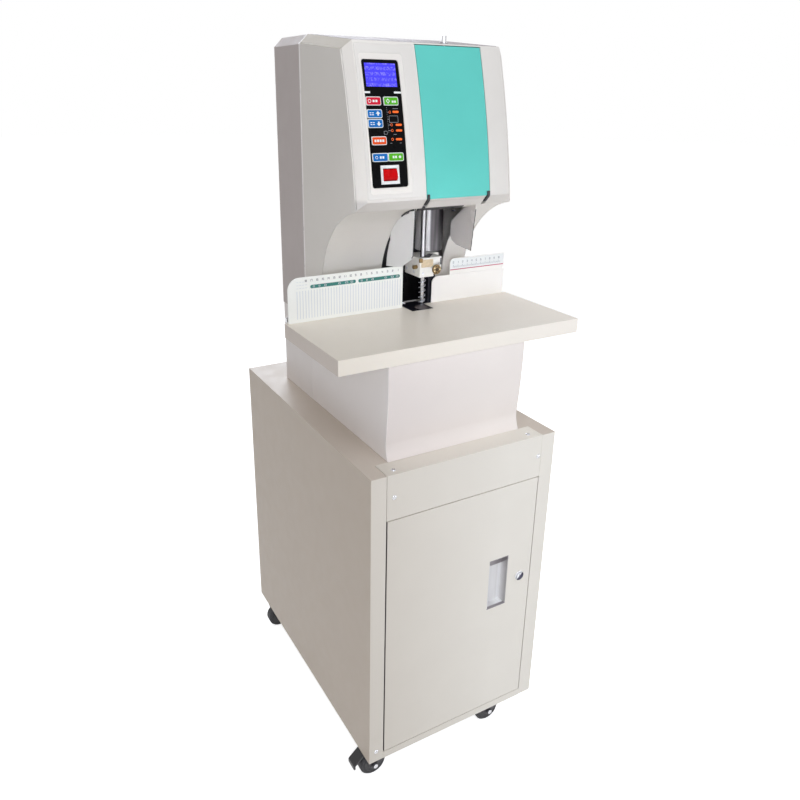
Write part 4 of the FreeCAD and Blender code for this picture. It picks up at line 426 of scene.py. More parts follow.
# Look, material's name, colour and mottling of the keys' caps.
KEY_PAINTS = [
    ("red_key", "red_key", (218, 30, 58), 0.06),
    ("green_plastic", "green_key", (88, 182, 36), 0.06),
    ("blue_plastic", "blue_key", (24, 112, 188), 0.08),
    ("orange_plastic", "orange_key", (238, 84, 30), 0.06),
]
# Look, colour, roughness and mottling of what is printed.
INKS = [
    ("ink_black", (44, 44, 48), 0.5, 0.1),
    ("ink_grey", (150, 152, 156), 0.5, 0.05),
    ("ink_faint", (222, 225, 228), 0.45, 0.03),
    ("ink_pale", (206, 210, 213), 0.5, 0.03),
    ("ink_white", (240, 242, 240), 0.4, 0.02),
    ("ink_green", (44, 122, 112), 0.45, 0.05),
    ("ink_red", (196, 44, 86), 0.45, 0.05),
]
for look, name, rgb, mottle in KEY_PAINTS:
    LOOKS[look] = surface(name, rgb, 0.35, grain=0.05, mottle=mottle, mottle_size=8.0, spec=0.15)
for look, rgb, rough, mottle in INKS:
    LOOKS[look] = surface(look, rgb, rough, mottle=mottle)
NODE_SLOTS = {entry["node"]: entry["material_slot"] for entry in frame["record"]["subparts"]}

# ---------------------------------------------------------------- mesh helpers

# The head's face is an arc in side view; CREASE is the height of its lower edge.
FACE_RADIUS = 1345.0
FACE_DROP = 178.0
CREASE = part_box("tube_cover")[0].z / MM
FACE_MID_Y = HEAD.front + math.sqrt(FACE_RADIUS ** 2 - FACE_DROP ** 2)
FACE_MID_Z = CREASE - FACE_DROP


def face_y(height, depth=0.0):
    """Y of the head's curved face at a height, or of a surface depth behind it."""
    return FACE_MID_Y - math.sqrt((FACE_RADIUS - depth) ** 2 - (height - FACE_MID_Z) ** 2)


# From u, v and depth on a plane to x, y and z.
MAPS = {
    "face": lambda u, v, d: (u, face_y(v, d), v),
    "XZ": lambda u, v, d: (u, d, v),
    "XY": lambda u, v, d: (u, v, d),
    "YZ": lambda u, v, d: (d, u, v),
}


def rounded(low_u, high_u, low_v, high_v, radius, corner=5, side=1):
    """Points of a rounded rectangle: corner steps on each arc, and side steps on each straight run."""
    centres = [(high_u - radius, high_v - radius), (low_u + radius, high_v - radius),
               (low_u + radius, low_v + radius), (high_u - radius, low_v + radius)]
    arcs = []
    for quarter, (u, v) in enumerate(centres):
        turns = [TURN * (quarter + step / corner) / 4 for step in range(corner + 1)]
        arcs.append([(u + radius * math.cos(turn), v + radius * math.sin(turn)) for turn in turns])
    points = []
    for quarter, arc in enumerate(arcs):
        points += arc
        end, start = arc[-1], arcs[(quarter + 1) % 4][0]
        points += [(end[0] + (start[0] - end[0]) * step / side, end[1] + (start[1] - end[1]) * step / side)
                   for step in range(1, side)]
    return points


def grown(box, grow, radius, side=1):
    """Points of a rounded rectangle that is larger than a box of left, right, low and high on every side."""
    left, right, low, high = box
    return rounded(left - grow, right + grow, low - grow, high + grow, radius, side=side)


def disc(u, v, radius, steps=20):
    """Points of a circle."""
    return [(u + radius * math.cos(TURN * step / steps), v + radius * math.sin(TURN * step / steps))
            for step in range(steps)]


def loft(mesh, loops, ends="capped"):
    """Skin a list of loops of as many points each; its ends are capped, open, or joined to each other."""
    rings = [[mesh.verts.new([c * MM for c in point]) for point in loop] for loop in loops]
    count = len(rings[0])
    for first, second in zip(rings, rings[1:] + (rings[:1] if ends == "joined" else [])):
        for index in range(count):
            after = (index + 1) % count
            mesh.faces.new((first[index], first[after], second[after], second[index]))
    if ends == "capped":
        mesh.faces.new(rings[0][::-1])
        mesh.faces.new(rings[-1])


def prism(mesh, outline, near, far, plane="face"):
    """A flat piece from its outline, between two depths of a plane."""
    loft(mesh, [[MAPS[plane](u, v, depth) for u, v in outline] for depth in (near, far)])


def bar(mesh, low_u, high_u, low_v, high_v, near, far, plane="face"):
    """A flat piece with four square corners."""
    prism(mesh, [(low_u, low_v), (high_u, low_v), (high_u, high_v), (low_u, high_v)], near, far, plane)


def hoop(mesh, outer, inner, near, far, plane="face"):
    """A flat piece with a hole of the same number of corners."""
    loft(mesh, [[MAPS[plane](u, v, depth) for u, v in line]
                for line, depth in ((outer, near), (outer, far), (inner, far), (inner, near))], "joined")


def lathe(mesh, profile, origin, axis, steps=28):
    """A turned piece from radius and height pairs, along x, y or z from origin."""
    to_axis = {"x": lambda a, b, h: (h, a, b), "y": lambda a, b, h: (b, h, a),
               "z": lambda a, b, h: (a, b, h)}[axis]
    loft(mesh, [[[start + part for start, part in zip(origin, to_axis(a, b, height))]
                 for a, b in disc(0, 0, radius, steps)] for radius, height in profile])


def tube(mesh, points, radius, steps=10):
    """A round bar along a line of points."""
    points = [Vector(point) for point in points]
    turns = [TURN * step / steps for step in range(steps)]
    loops = []
    side = None
    for index, point in enumerate(points):
        ahead = points[min(index + 1, len(points) - 1)] - points[max(index - 1, 0)]
        ahead.normalize()
        if side is None:
            side = ahead.orthogonal().normalized()
        side = (side - ahead * side.dot(ahead)).normalized()
        up = ahead.cross(side)
        loops.append([point + (side * math.cos(turn) + up * math.sin(turn)) * radius for turn in turns])
    loft(mesh, loops)


def new_object(name, data):
    """An object in the scene, from its mesh, lamp or camera data."""
    item = bpy.data.objects.new(name, data)
    bpy.context.scene.collection.objects.link(item)
    return item


def mesh_object(name, mesh):
    """An object in the scene, from a bmesh, which is used up."""
    bmesh.ops.recalc_face_normals(mesh, faces=mesh.faces)
    data = bpy.data.meshes.new(name)
    mesh.to_mesh(data)
    mesh.free()
    return new_object(name, data)


def piece(name, mesh, body, look, bevel=0.0, replaces=()):
    """Finish a piece: smooth shading, rounded edges, material, and the body that it rides on."""
    item = mesh_object(name, mesh)
    dress(item, look, bevel)
    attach(item, body)
    if replaces:
        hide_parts(*replaces)
    return item


def dress(item, look, bevel_width):
    """Give a piece its material, round its edges and shade it by the size of its faces."""
    item.data.materials.clear()
    item.data.materials.append(LOOKS[look])
    for polygon in item.data.polygons:
        polygon.use_smooth = True
    if bevel_width:
        bevel = item.modifiers.new("round", "BEVEL")
        bevel.width = bevel_width * MM
        bevel.segments = 2
        bevel.limit_method = "ANGLE"
        bevel.angle_limit = math.radians(35)
    normals = item.modifiers.new("shade", "WEIGHTED_NORMAL")
    normals.weight = 60
    normals.keep_sharp = False


# ---------------------------------------------------------------- CAD nodes

NODE_LOOKS = {"left_fence": "fence_white", "right_fence": "fence_pale", "scale_plate": "fence_pale",
              "worktable": "table_paint", "front_shell": "front_paint", "head_side_left": "side_paint",
              "rear_shell": "rear_paint", "base_shell": "base_paint", "cabinet_wrap": "wrap_paint",
              "door_panel": "door_paint", "spindle": "rod_chrome", "drill_pad": "pad_grey",
              "lock_barrel": "lock_zinc", "lock_cam": "lock_zinc"}
NODE_BEVELS = {"cabinet_wrap": 1.0, "front_cover": 0.7, "door_panel": 0.7, "cabinet_floor": 0.5,
               "front_shell": 0.6, "rear_shell": 1.6, "base_shell": 1.6, "worktable": 1.2, "left_fence": 0.5,
               "right_fence": 0.5, "scale_plate": 0.4, "tube_cover": 0.5, "machine_frame": 1.0,
               "die_block": 0.6, "press_foot": 0.8, "door_cup": 0.5}
for node, item in frame["nodes"].items():
    weld = item.modifiers.new("weld", "WELD")
    weld.merge_threshold = 0.00001
    # The front shell's curved face stays in its strips, which would shade unevenly if they were merged.
    if node in NODE_BEVELS and node != "front_shell":
        flat = item.modifiers.new("flat", "DECIMATE")
        flat.decimate_type = "DISSOLVE"
        flat.angle_limit = math.radians(0.3)
    dress(item, NODE_LOOKS.get(node, NODE_SLOTS[node]),
          0.0 if node.startswith("head_side") else NODE_BEVELS.get(node, 0.25))

# ---------------------------------------------------------------- control panel

PLATE = sides("control_panel")
RIM = 3.0
PANEL = (PLATE.left + RIM, PLATE.right - RIM, PLATE.low + RIM, PLATE.high - RIM)
SUNK = 1.0
PRINT = (SUNK - 0.12, SUNK + 0.1)
BAR_LOW, BAR_HIGH = 1139.4, 1142.0


def panel():
    """Rim round the recess, printed bars, line diagram and lamps of the control panel."""
    mesh = bmesh.new()
    hoop(mesh, grown(PANEL, 1.2, 3.2, 24), grown(PANEL, 0, 2.5, 24), -0.5, 0.3)
    piece("panel_rim", mesh, "stand", "front_paint", bevel=0.35)
    mesh = bmesh.new()
    hoop(mesh, grown(PANEL, 0, 0.05, 24), grown(PANEL, -0.2, 4.0, 24), 0.2, SUNK + 0.1)
    piece("panel_corners", mesh, "stand", "front_paint")
    mesh = bmesh.new()
    for first, last in ((-118.0, -108.5), (-69.0, -57.2)):
        bar(mesh, first, last, BAR_LOW, BAR_HIGH, SUNK - 0.1, SUNK + 0.1)
    piece("panel_bars", mesh, "stand", "ink_white")
    mesh = bmesh.new()
    for u, v in ((-69.6, 1114.3), (-66.2, 1096.4), (-66.4, 1088.7), (-67.7, 1076.5)):
        prism(mesh, rounded(u - 5.2, u + 5.2, v - 1.5, v + 1.5, 1.45), SUNK - 0.5, SUNK + 0.2)
    piece("panel_lamps", mesh, "stand", "led_orange", bevel=0.2)
    mesh = bmesh.new()
    for u, v in ((-79.3, 1113.9), (-78.1, 1096.5), (-77.8, 1088.7), (-78.6, 1076.6)):
        hoop(mesh, disc(u, v, 1.9), disc(u, v, 1.3), SUNK - 0.15, SUNK + 0.1)
    piece("panel_circles", mesh, "stand", "led_orange")
    mesh = bmesh.new()
    for v in [1120.5 - 2.4 * step for step in range(15)]:
        prism(mesh, rounded(-84.4, -83.7, v - 0.8, v, 0.2, 2), *PRINT)
    for box in ((-81.5, -66.4, 1099.6, 1109.0), (-92.0, -86.2, 1083.4, 1088.2)):
        hoop(mesh, grown(box, 0, 1.0), grown(box, -0.5, 0.6), *PRINT)
    for u, v, length in ((-83.5, 1113.7, 2.0), (-83.5, 1104.0, 1.8), (-83.5, 1096.3, 3.4),
                         (-83.5, 1088.5, 3.6), (-82.8, 1071.2, 3.0), (-66.5, 1071.2, 3.0),
                         (-76.0, 1083.2, 5.0), (-74.0, 1118.6, 9.0)):
        prism(mesh, rounded(u, u + length, v - 0.3, v + 0.3, 0.2, 2), *PRINT)
    piece("panel_diagram", mesh, "stand", "ink_grey")


# Height on the face of each key; its place across and its slot come from its CAD node.
KEYS = {"key_stop": 1129.0, "key_start": 1129.0, "key_up": 1111.8, "key_down": 1098.6, "key_test": 1075.0,
        "key_drill_mode": 1052.0, "key_rivet_mode": 1052.0}


def dashes(mesh, u, v, count, pitch, width, height, near, far):
    """A row of short bars in place of words."""
    for index in range(count):
        start = u + index * pitch
        prism(mesh, rounded(start, start + width, v - height / 2, v + height / 2, 0.3, 2), near, far)


def keys():
    """Push keys: white rounded base, coloured cap and plain white signs, one set on each key's body."""
    half_height, rim = 6.0, 1.0
    near, far = -0.17, 0.0
    for name, v in KEYS.items():
        slot = NODE_SLOTS[name]
        left, right = sides(name)[:2]
        u = (left + right) / 2
        box = (left, right, v - half_height, v + half_height)
        mesh = bmesh.new()
        prism(mesh, grown(box, 0, 2.4), 0.1, 5.1)
        piece(name + "_base", mesh, name, "ink_white", bevel=0.3, replaces=(name,))
        mesh = bmesh.new()
        prism(mesh, grown(box, -rim, 1.7), -0.12, 0.4)
        piece(name + "_cap", mesh, name, "red_key" if name == "key_stop" else slot, bevel=0.15)
        mesh = bmesh.new()
        if name == "key_start":
            hoop(mesh, [(u - 8.5, v), (u - 5.2, v + 3.6), (u - 1.9, v), (u - 5.2, v - 3.6)],
                 [(u - 7.1, v), (u - 5.2, v + 2.1), (u - 3.3, v), (u - 5.2, v - 2.1)], near, far)
            dashes(mesh, u + 1.2, v - 0.8, 2, 3.8, 2.9, 2.9, near, far)
        elif name in ("key_up", "key_down"):
            lift = 3.6 if name == "key_up" else -3.6
            prism(mesh, [(u + 1.5, v), (u + 5.2, v + lift), (u + 8.9, v)], near, far)
            bar(mesh, u + 4.0, u + 6.4, v, v - lift * 0.7, near, far)
            dashes(mesh, u - 8.6, v + 1.2, 2, 3.9, 3.0, 1.1, near, far)
            dashes(mesh, u - 8.6, v - 1.4, 2, 3.9, 3.0, 1.1, near, far)
        elif name == "key_stop":
            hoop(mesh, disc(u - 6.6, v, 2.6), disc(u - 6.6, v, 1.8), near, far)
            dashes(mesh, u - 1.6, v, 2, 4.6, 3.2, 3.2, near, far)
        elif name == "key_test":
            dashes(mesh, u - 8.2, v, 4, 4.3, 3.2, 3.4, near, far)
        elif name == "key_drill_mode":
            dashes(mesh, u - 1.0, v, 2, 4.2, 3.0, 3.4, near, far)
            hoop(mesh, disc(u - 6.2, v, 2.2), disc(u - 6.2, v, 1.5), near, far)
        else:
            dashes(mesh, u - 6.0, v, 2, 4.2, 3.0, 3.4, near, far)
            prism(mesh, disc(u + 6.4, v, 2.0), near, far)
        piece(name + "_signs", mesh, name, "ink_white")


panel()
keys()

# ---------------------------------------------------------------- head

SEAM_Y = HEAD.back


def face_frame():
    """Raised field round the control panel's recess, with soft slopes to both sides."""
    inner = (-121.0, -50.0, 1000.5, 1193.0)
    outer = (-127.6, -27.2, 992.5, 1207.0)
    mesh = bmesh.new()
    loft(mesh, [[MAPS["face"](u, v, depth) for u, v in grown(box, grow, radius, 26)]
                for box, grow, radius, depth in (
                    (outer, 0, 3.0, 0.4), (outer, -0.8, 3.0, -0.9), (outer, -1.6, 3.0, -1.2),
                    (inner, 3.4, 6.0, -1.2), (inner, 1.6, 5.0, -0.9), (inner, 0, 4.0, 0.0),
                    (inner, 0, 4.0, 0.4))], "open")
    piece("face_frame", mesh, "stand", "housing_plastic")


def seam():
    """Light strip in the seam between the head's front and rear shells."""
    middle_x = middle("rear_shell")[0]
    outer = [(-142.9, HEAD.low), (-142.9, 1211.2), (-128.7, HEAD.high)]
    inner = [(-141.9, HEAD.low), (-141.9, 1210.8), (-128.3, HEAD.high - 1.0)]
    for line in (outer, inner):
        line += [(2 * middle_x - x, z) for x, z in line[::-1]]
    mesh = bmesh.new()
    for (a, b), (c, d) in zip(zip(outer, outer[1:]), zip(inner, inner[1:])):
        prism(mesh, [a, b, d, c], SEAM_Y - 1.8, SEAM_Y + 1.4, "XZ")
    piece("head_seam_strip", mesh, "stand", "seam_white")


def top_panel():
    """Greyer field of painted shade on the sloping top of the head's front shell."""
    low, high = 1210.0, HEAD.high
    front = face_y(low)
    rise = (high - low) / (SEAM_Y - front)
    outline = rounded(-126.0, 128.0, front + 1.5, 66.0, 3.0)
    mesh = bmesh.new()
    loft(mesh, [[(x, y, low + rise * (y - front) + lift) for x, y in outline] for lift in (-0.3, 0.4)])
    piece("head_top_shade_field", mesh, "stand", "top_shade_grey", bevel=0.15)


face_frame()
seam()
top_panel()

# ---------------------------------------------------------------- drill throat

COLUMN = middle("return_spring")[:2]
SPRING_LOW, SPRING_HIGH = 764.6, 847.4


def spring():
    """Return spring on its column."""
    turns, wire, radius = 10, 0.8, 5.6
    flat_share = 0.04
    low, high = SPRING_LOW + wire, SPRING_HIGH - wire
    steps = turns * 24
    path = []
    for step in range(steps + 1):
        turn = TURN * turns * step / steps
        rise = min(max((step / steps - flat_share) / (1 - 2 * flat_share), 0.0), 1.0)
        path.append((COLUMN[0] + radius * math.cos(turn), COLUMN[1] + radius * math.sin(turn),
                     low + (high - low) * rise))
    mesh = bmesh.new()
    tube(mesh, path, wire, 8)
    item = piece("return_coil", mesh, "stand", "spring_zinc",
                 replaces=("return_spring",))
    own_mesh(item)


def guards():
    """Milky guard and its wing left of the drill, clear guard right of it, and the strips on their edges, one
    of them a painted highlight.
    """
    milky = [(-111.3, 973.0), (-111.0, 960.0), (-109.8, 935.0), (-108.4, 899.0), (-105.0, 895.0),
             (-96.0, 893.2), (-48.0, 893.2), (-40.0, 899.0), (-37.4, 906.0), (-37.0, 918.0), (-40.0, 926.5),
             (-46.0, 934.0), (-59.5, 947.7), (-75.9, 957.2), (-94.7, 964.2), (-99.0, 973.0)]
    clear = [(-106.6, 973.0), (-105.4, 964.0), (-101.8, 936.8), (-97.0, 894.6), (-53.5, 898.7),
             (-41.0, 903.5), (-36.8, 911.0), (-36.8, 934.5), (-73.2, 962.0), (-78.0, 973.0)]
    wing = [(-104.5, 893.6), (-73.6, 874.8), (-46.0, 869.0), (-20.7, 865.3), (-22.5, 878.0), (-24.7, 888.9),
            (-31.0, 907.0), (-34.5, 913.6), (-39.0, 910.5), (-42.0, 905.0)]
    half = 1.0
    left_x, right_x = sides("drill_guards").left + half, sides("drill_guards").right - half
    for name, outline, look, near, far, replaced in (
            ("guard_left", milky, "milky_plastic", left_x - half, left_x + half, ("drill_guards",)),
            ("guard_right", clear, "smoky_plastic", right_x - half, right_x + half, ("drill_guards",)),
            ("guard_wing", wing, "milky_plastic", -33.8, -32.2, ())):
        mesh = bmesh.new()
        prism(mesh, outline, near, far, "YZ")
        piece(name, mesh, "stand", look, bevel=0.4, replaces=replaced)
    mesh = bmesh.new()
    arc = [(-73.2, 956.4), (-85.2, 963.6), (-97.2, 968.4), (-110.6, 971.2)]
    for x, line, radius in ((left_x, milky[:5], 0.8), (left_x - 0.6, arc, 1.5), (right_x, clear[1:5], 0.7)):
        tube(mesh, [(x, y, z) for y, z in line], radius)
    piece("guard_edges", mesh, "stand", "black_plastic")
    # White strip of painted highlight along an edge of the clear guard.
    mesh = bmesh.new()
    tube(mesh, [(right_x, y, z) for y, z in clear[4:9]], 0.9)
    piece("guard_edge_highlight", mesh, "stand", "white_plastic")


def head_brackets():
    """Dark mounting band with its screw under the head's lip."""
    mesh = bmesh.new()
    prism(mesh, [(-113.0, 976.5), (-113.0, 973.0), (-106.0, 968.5), (-106.0, 972.5)], -29.0, 56.0, "YZ")
    piece("head_band", mesh, "stand", "black_plastic", bevel=0.3)
    mesh = bmesh.new()
    lathe(mesh, [(3.4, -2.0), (3.4, 0.0), (2.4, 1.0)], (40.0, -106.0, 966.0), "z", 16)
    piece("band_screw", mesh, "stand", "black_steel")


def cover_trim():
    """Light strip that carries the face's bevel on under the cover, and the hooked ends of its hinge arms."""
    mesh = bmesh.new()
    prism(mesh, [(-129.3, 988.9), (-126.9, 986.3), (-124.6, 986.3), (-127.0, 988.9)], -18.4, 86.4, "YZ")
    piece("cover_strip", mesh, "cover", "housing_plastic", bevel=0.2)
    mesh = bmesh.new()
    hook = [(-130.1, 996.0), (-130.7, 995.0), (-130.9, 989.2), (-129.6, 986.6), (-123.4, 980.4),
            (-121.0, 978.4), (-119.8, 979.6), (-122.2, 981.8), (-128.2, 987.6), (-129.2, 989.8),
            (-129.2, 995.6), (-129.4, 996.2)]
    for left, right in ((-25.3, -20.6), (87.2, 92.4)):
        prism(mesh, hook, left, right, "YZ")
    piece("cover_hooks", mesh, "cover", "black_plastic", bevel=0.3)


def throat_back():
    """Black panel on the throat's wall behind the press foot, and the bright bar end behind the fence."""
    mesh = bmesh.new()
    prism(mesh, rounded(-30.0, 74.0, 791.4, 848.0, 2.0), 1.2, 3.5, "XZ")
    piece("throat_panel", mesh, "stand", "panel_black", bevel=0.4)
    mesh = bmesh.new()
    lathe(mesh, [(3.6, -11.2), (3.6, 3.0), (3.0, 3.8)], (0.0, -21.5, 795.2), "x", 20)
    piece("bar_end", mesh, "stand", "bright_steel")


def fixtures():
    """Small parts of the press foot: screws, slot, fibre plate and the brass ring with its dark marks and
    painted glints.
    """
    ring_x, ring_y, ring_z, ring_radius = 45.0, -55.6, 858.6, 5.6
    mesh = bmesh.new()
    for y, z in ((-37.1, 854.0), (-14.0, 856.0)):
        lathe(mesh, [(2.2, -0.9), (2.5, -0.2), (2.5, 0.6)], (12.0, y, z), "x", 16)
    lathe(mesh, [(1.8, -0.9), (2.1, -0.2), (2.1, 0.6)], (18.5, -55.5, 854.0), "y", 16)
    piece("foot_screws", mesh, "foot", "lock_zinc")
    mesh = bmesh.new()
    prism(mesh, [(19.0, -49.0), (31.0, -55.0), (51.0, -34.0), (47.0, -28.0)], 879.8, 880.5, "XY")
    prism(mesh, rounded(52.6, 55.4, 866.0, 877.5, 1.0), -56.0, -55.2, "XZ")
    piece("foot_slot", mesh, "foot", "ink_black")
    mesh = bmesh.new()
    prism(mesh, rounded(15.0, 38.0, 864.0, 877.0, 1.2), -56.4, -55.3, "XZ")
    piece("foot_plate", mesh, "foot", "tan_fibre", bevel=0.2)
    mesh = bmesh.new()
    prism(mesh, rounded(9.8, 16.4, 873.0, 880.0, 1.2), -57.6, -55.4, "XZ")
    lathe(mesh, [(3.0, -3.2), (7.6, -3.2), (8.2, -2.4), (8.2, 0.4)], (ring_x, ring_y, ring_z), "y", 28)
    piece("foot_brass", mesh, "foot", "brass", bevel=0.2)
    mesh, glints = bmesh.new(), bmesh.new()
    # Three of the ring's marks are painted glints.
    for index, (x, z) in enumerate(disc(ring_x, ring_z, ring_radius, 7)):
        target = glints if index in (0, 3, 4) else mesh
        lathe(target, [(0.3, -3.4), (1.4, -3.4), (1.4, -2.9)], (x, ring_y, z), "y", 10)
    lathe(mesh, [(0.3, -3.5), (3.0, -3.5), (3.0, -3.0)], (ring_x, ring_y, ring_z), "y", 20)
    piece("brass_marks", mesh, "foot", "brass_shade")
    piece("brass_glints", glints, "foot", "brass_glint")


# ---------------------------------------------------------------- fences

SEGMENTS = {"0": "abcdef", "1": "bc", "2": "abged", "3": "abgcd", "4": "fgbc", "5": "afgcd", "6": "afgedc",
            "7": "abc", "8": "abcdefg", "9": "abcdfg"}
# Each segment's left, right, low and high end: in widths from the left, and in half heights from the middle.
SEGMENT_ENDS = {"a": (0, 1, 1, 1), "g": (0, 1, 0, 0), "d": (0, 1, -1, -1), "f": (0, 0, 0, 1),
                "b": (1, 1, 0, 1), "e": (0, 0, -1, 0), "c": (1, 1, -1, 0)}


def number(mesh, text, u, v, width, height, stroke, near, far):
    """A plain number made of bars, centred on u and v, on an XZ plane."""
    half, edge, pitch = height / 2, stroke / 2, width * 1.5
    for index, figure in enumerate(text):
        left = u - width / 2 + (index - (len(text) - 1) / 2) * pitch
        for name in SEGMENTS[figure]:
            low_u, high_u, low_v, high_v = SEGMENT_ENDS[name]
            bar(mesh, left + low_u * width - edge, left + high_u * width + edge, v + low_v * half - edge,
                v + high_v * half + edge, near, far, "XZ")


def left_scale():
    """Centimetre scale, green bands and fine upright lines on the left fence."""
    front = sides("left_fence").front
    near, far = front - 0.12, front + 0.2
    zero, lines_left, lines_low, lines_high = -7.5, -203.0, 797.0, 843.0
    mesh = bmesh.new()
    for centimetre in range(1, 19):
        number(mesh, str(centimetre), zero - 10 * centimetre, 858.8, 1.9, 3.0, 0.55, near, far)
    piece("scale_numbers", mesh, "stand", "ink_dim")
    mesh = bmesh.new()
    for low_u, high_u in ((-179.0, -97.2), (-92.6, -13.2)):
        prism(mesh, rounded(low_u, high_u, 845.6, 851.2, 2.7), near, far, "XZ")
    piece("scale_bands", mesh, "stand", "ink_green")
    mesh = bmesh.new()
    for start in (-179.0, -92.6):
        for offset, width in ((4.5, 3.4), (14.5, 3.2), (24.5, 4.4), (49.5, 4.4), (62.0, 5.5), (72.0, 4.6)):
            box = (start + offset, start + offset + width, 846.9, 849.9)
            hoop(mesh, grown(box, 0, 1.2), grown(box, -0.7, 0.7), near - 0.06, far, "XZ")
    piece("band_marks", mesh, "stand", "ink_pale")
    mesh = bmesh.new()
    for step in range(39):
        u = lines_left + 5 * step
        bar(mesh, u, u + 1.5, lines_low, lines_high, near, far, "XZ")
    for v in (857.5, 852.5, 847.5):
        for step in range(4):
            u = lines_left + 5 * step
            bar(mesh, u, u + 3.6, v - 0.45, v + 0.45, near, far, "XZ")
    piece("scale_lines", mesh, "stand", "ink_faint")


def right_scale():
    """White label band with a red line and plain ticks on the plate behind the right fence."""
    plate = sides("scale_plate")
    near, far = plate.front - 0.14, plate.front + 0.1
    print_near = near - 0.08
    left, right, low, high, radius = plate.left + 0.6, plate.right - 0.4, 845.6, plate.high - 0.6, 6.0
    zero, ticks_low = 101.25, 849.5
    turns = [TURN * step / 32 for step in range(9)]
    mesh = bmesh.new()
    corner = [(left + radius * (1 - math.cos(turn)), high - radius * (1 - math.sin(turn))) for turn in turns]
    prism(mesh, [(left, low)] + corner + [(right, high), (right, low)], near, far, "XZ")
    piece("label_band", mesh, "stand", "ink_white")
    mesh = bmesh.new()
    bar(mesh, left + 0.2, plate.right, low - 0.7, low + 0.7, print_near, far, "XZ")
    piece("label_line", mesh, "stand", "ink_red")
    mesh = bmesh.new()
    for step in range(53):
        u = zero + 2 * step
        height = 2.6 if step % 5 else 5.0
        bar(mesh, u - 0.25, u + 0.25, ticks_low, ticks_low + height, print_near, far, "XZ")
    for centimetre in range(11):
        number(mesh, str(centimetre), zero + 10 * centimetre, 858.6, 1.8, 3.2, 0.6, print_near, far)
    piece("label_ticks", mesh, "stand", "ink_grey")


# ---------------------------------------------------------------- screws, lock and casters


def cross_screw(mesh, slots, place, axis, sign):
    """Domed screw head along y or z, with a cross recess; its crown points to the side that sign gives."""
    reach, half_width = 2.3, 0.45
    profile = [(4.0, -0.4), (4.0, 0.3), (3.4, 1.0), (2.2, 1.4), (0.6, 1.5)]
    lathe(mesh, [(radius, height * sign) for radius, height in profile], place, axis, 20)
    x, y, z = place
    v, depth, plane = (z, y, "XZ") if axis == "y" else (y, z, "XY")
    near, far = depth + 1.2 * sign, depth + 1.46 * sign
    for along, across in ((reach, half_width), (half_width, reach)):
        bar(slots, x - along, x + along, v - across, v + across, near, far, plane)


def screws():
    """Screws of the cabinet's front cover, flange and top."""
    cover = sides("front_cover")
    heads, slots = bmesh.new(), bmesh.new()
    for x, z in ((-150.0, 574.5), (127.0, 574.5), (-176.5, 86.0)):
        cross_screw(heads, slots, (x, cover.front, z), "y", -1)
    for x in (-145.0, 112.0):
        cross_screw(heads, slots, (x, cover.front + 13.0, cover.high), "z", 1)
    piece("screw_heads", heads, "stand", "bright_steel", replaces=("cabinet_screws",))
    piece("screw_slots", slots, "stand", "ink_black")


def lock():
    """Key plug and keyway of the door's lock."""
    x, _, z = middle("lock_barrel")
    front_y = sides("lock_barrel").front + 0.5
    mesh = bmesh.new()
    lathe(mesh, [(8.3, 0.3), (8.3, -0.1), (7.6, -0.5), (6.4, -0.5), (6.2, 0.0)], (x, front_y, z), "y", 32)
    piece("lock_ring", mesh, "door", "lock_zinc")
    mesh = bmesh.new()
    prism(mesh, rounded(x - 0.7, x + 0.7, z - 3.4, z + 3.4, 0.5, 3), front_y - 0.45, front_y, "XZ")
    piece("lock_keyway", mesh, "door_cam", "ink_black")


def casters():
    """Hubs, axle nuts, bearing rings and plate bolts of the casters, whose wheels trail to the left."""
    trail, bolt_out = 25.0, 22.0
    bolts = bmesh.new()
    for name in ("front_left", "front_right", "rear_left", "rear_right"):
        axle = middle("caster_wheel_" + name)
        x, y = axle[0] + trail, axle[1]
        mesh = bmesh.new()
        for sign in (-1, 1):
            lathe(mesh, [(17.5, 9.2 * sign), (17.5, 9.9 * sign), (16.4, 10.0 * sign), (15.6, 9.4 * sign),
                         (8.0, 9.2 * sign)], axle, "y", 32)
        piece("wheel_hub_" + name, mesh, "wheel_" + name, "black_plastic")
        mesh = bmesh.new()
        for sign in (-1, 1):
            lathe(mesh, [(4.6, 16.9 * sign), (4.6, 19.4 * sign), (3.6, 19.9 * sign)], axle, "y", 6)
        piece("axle_nuts_" + name, mesh, "swivel_" + name, "bright_steel", bevel=0.3)
        mesh = bmesh.new()
        bearing = [(14.0, 54.4), (15.6, 55.0), (16.0, 57.0), (15.0, 59.0), (12.0, 59.6)]
        lathe(mesh, bearing, (x, y, 0.0), "z", 32)
        piece("bearing_ring_" + name, mesh, "swivel_" + name, "bright_steel")
        for side_x in (-bolt_out, bolt_out):
            for side_y in (-bolt_out, bolt_out):
                lathe(bolts, [(3.6, 58.4), (3.6, 60.8), (3.2, 61.2)], (x + side_x, y + side_y, 0.0), "z", 6)
    piece("plate_bolts", bolts, "stand", "bright_steel", bevel=0.2)


spring()
guards()
head_brackets()
cover_trim()
throat_back()
fixtures()
left_scale()
right_scale()
screws()
lock()
casters()

# ---------------------------------------------------------------- camera, light and floor

COOL = (0.92, 0.98, 1.08)
WHITE = (1, 1, 1, 1)
WORLD_LIGHT = 0.31
WORLD_TINT = (1.0, 0.955, 0.91, 1)
FLOOR_GLOW = 0.78


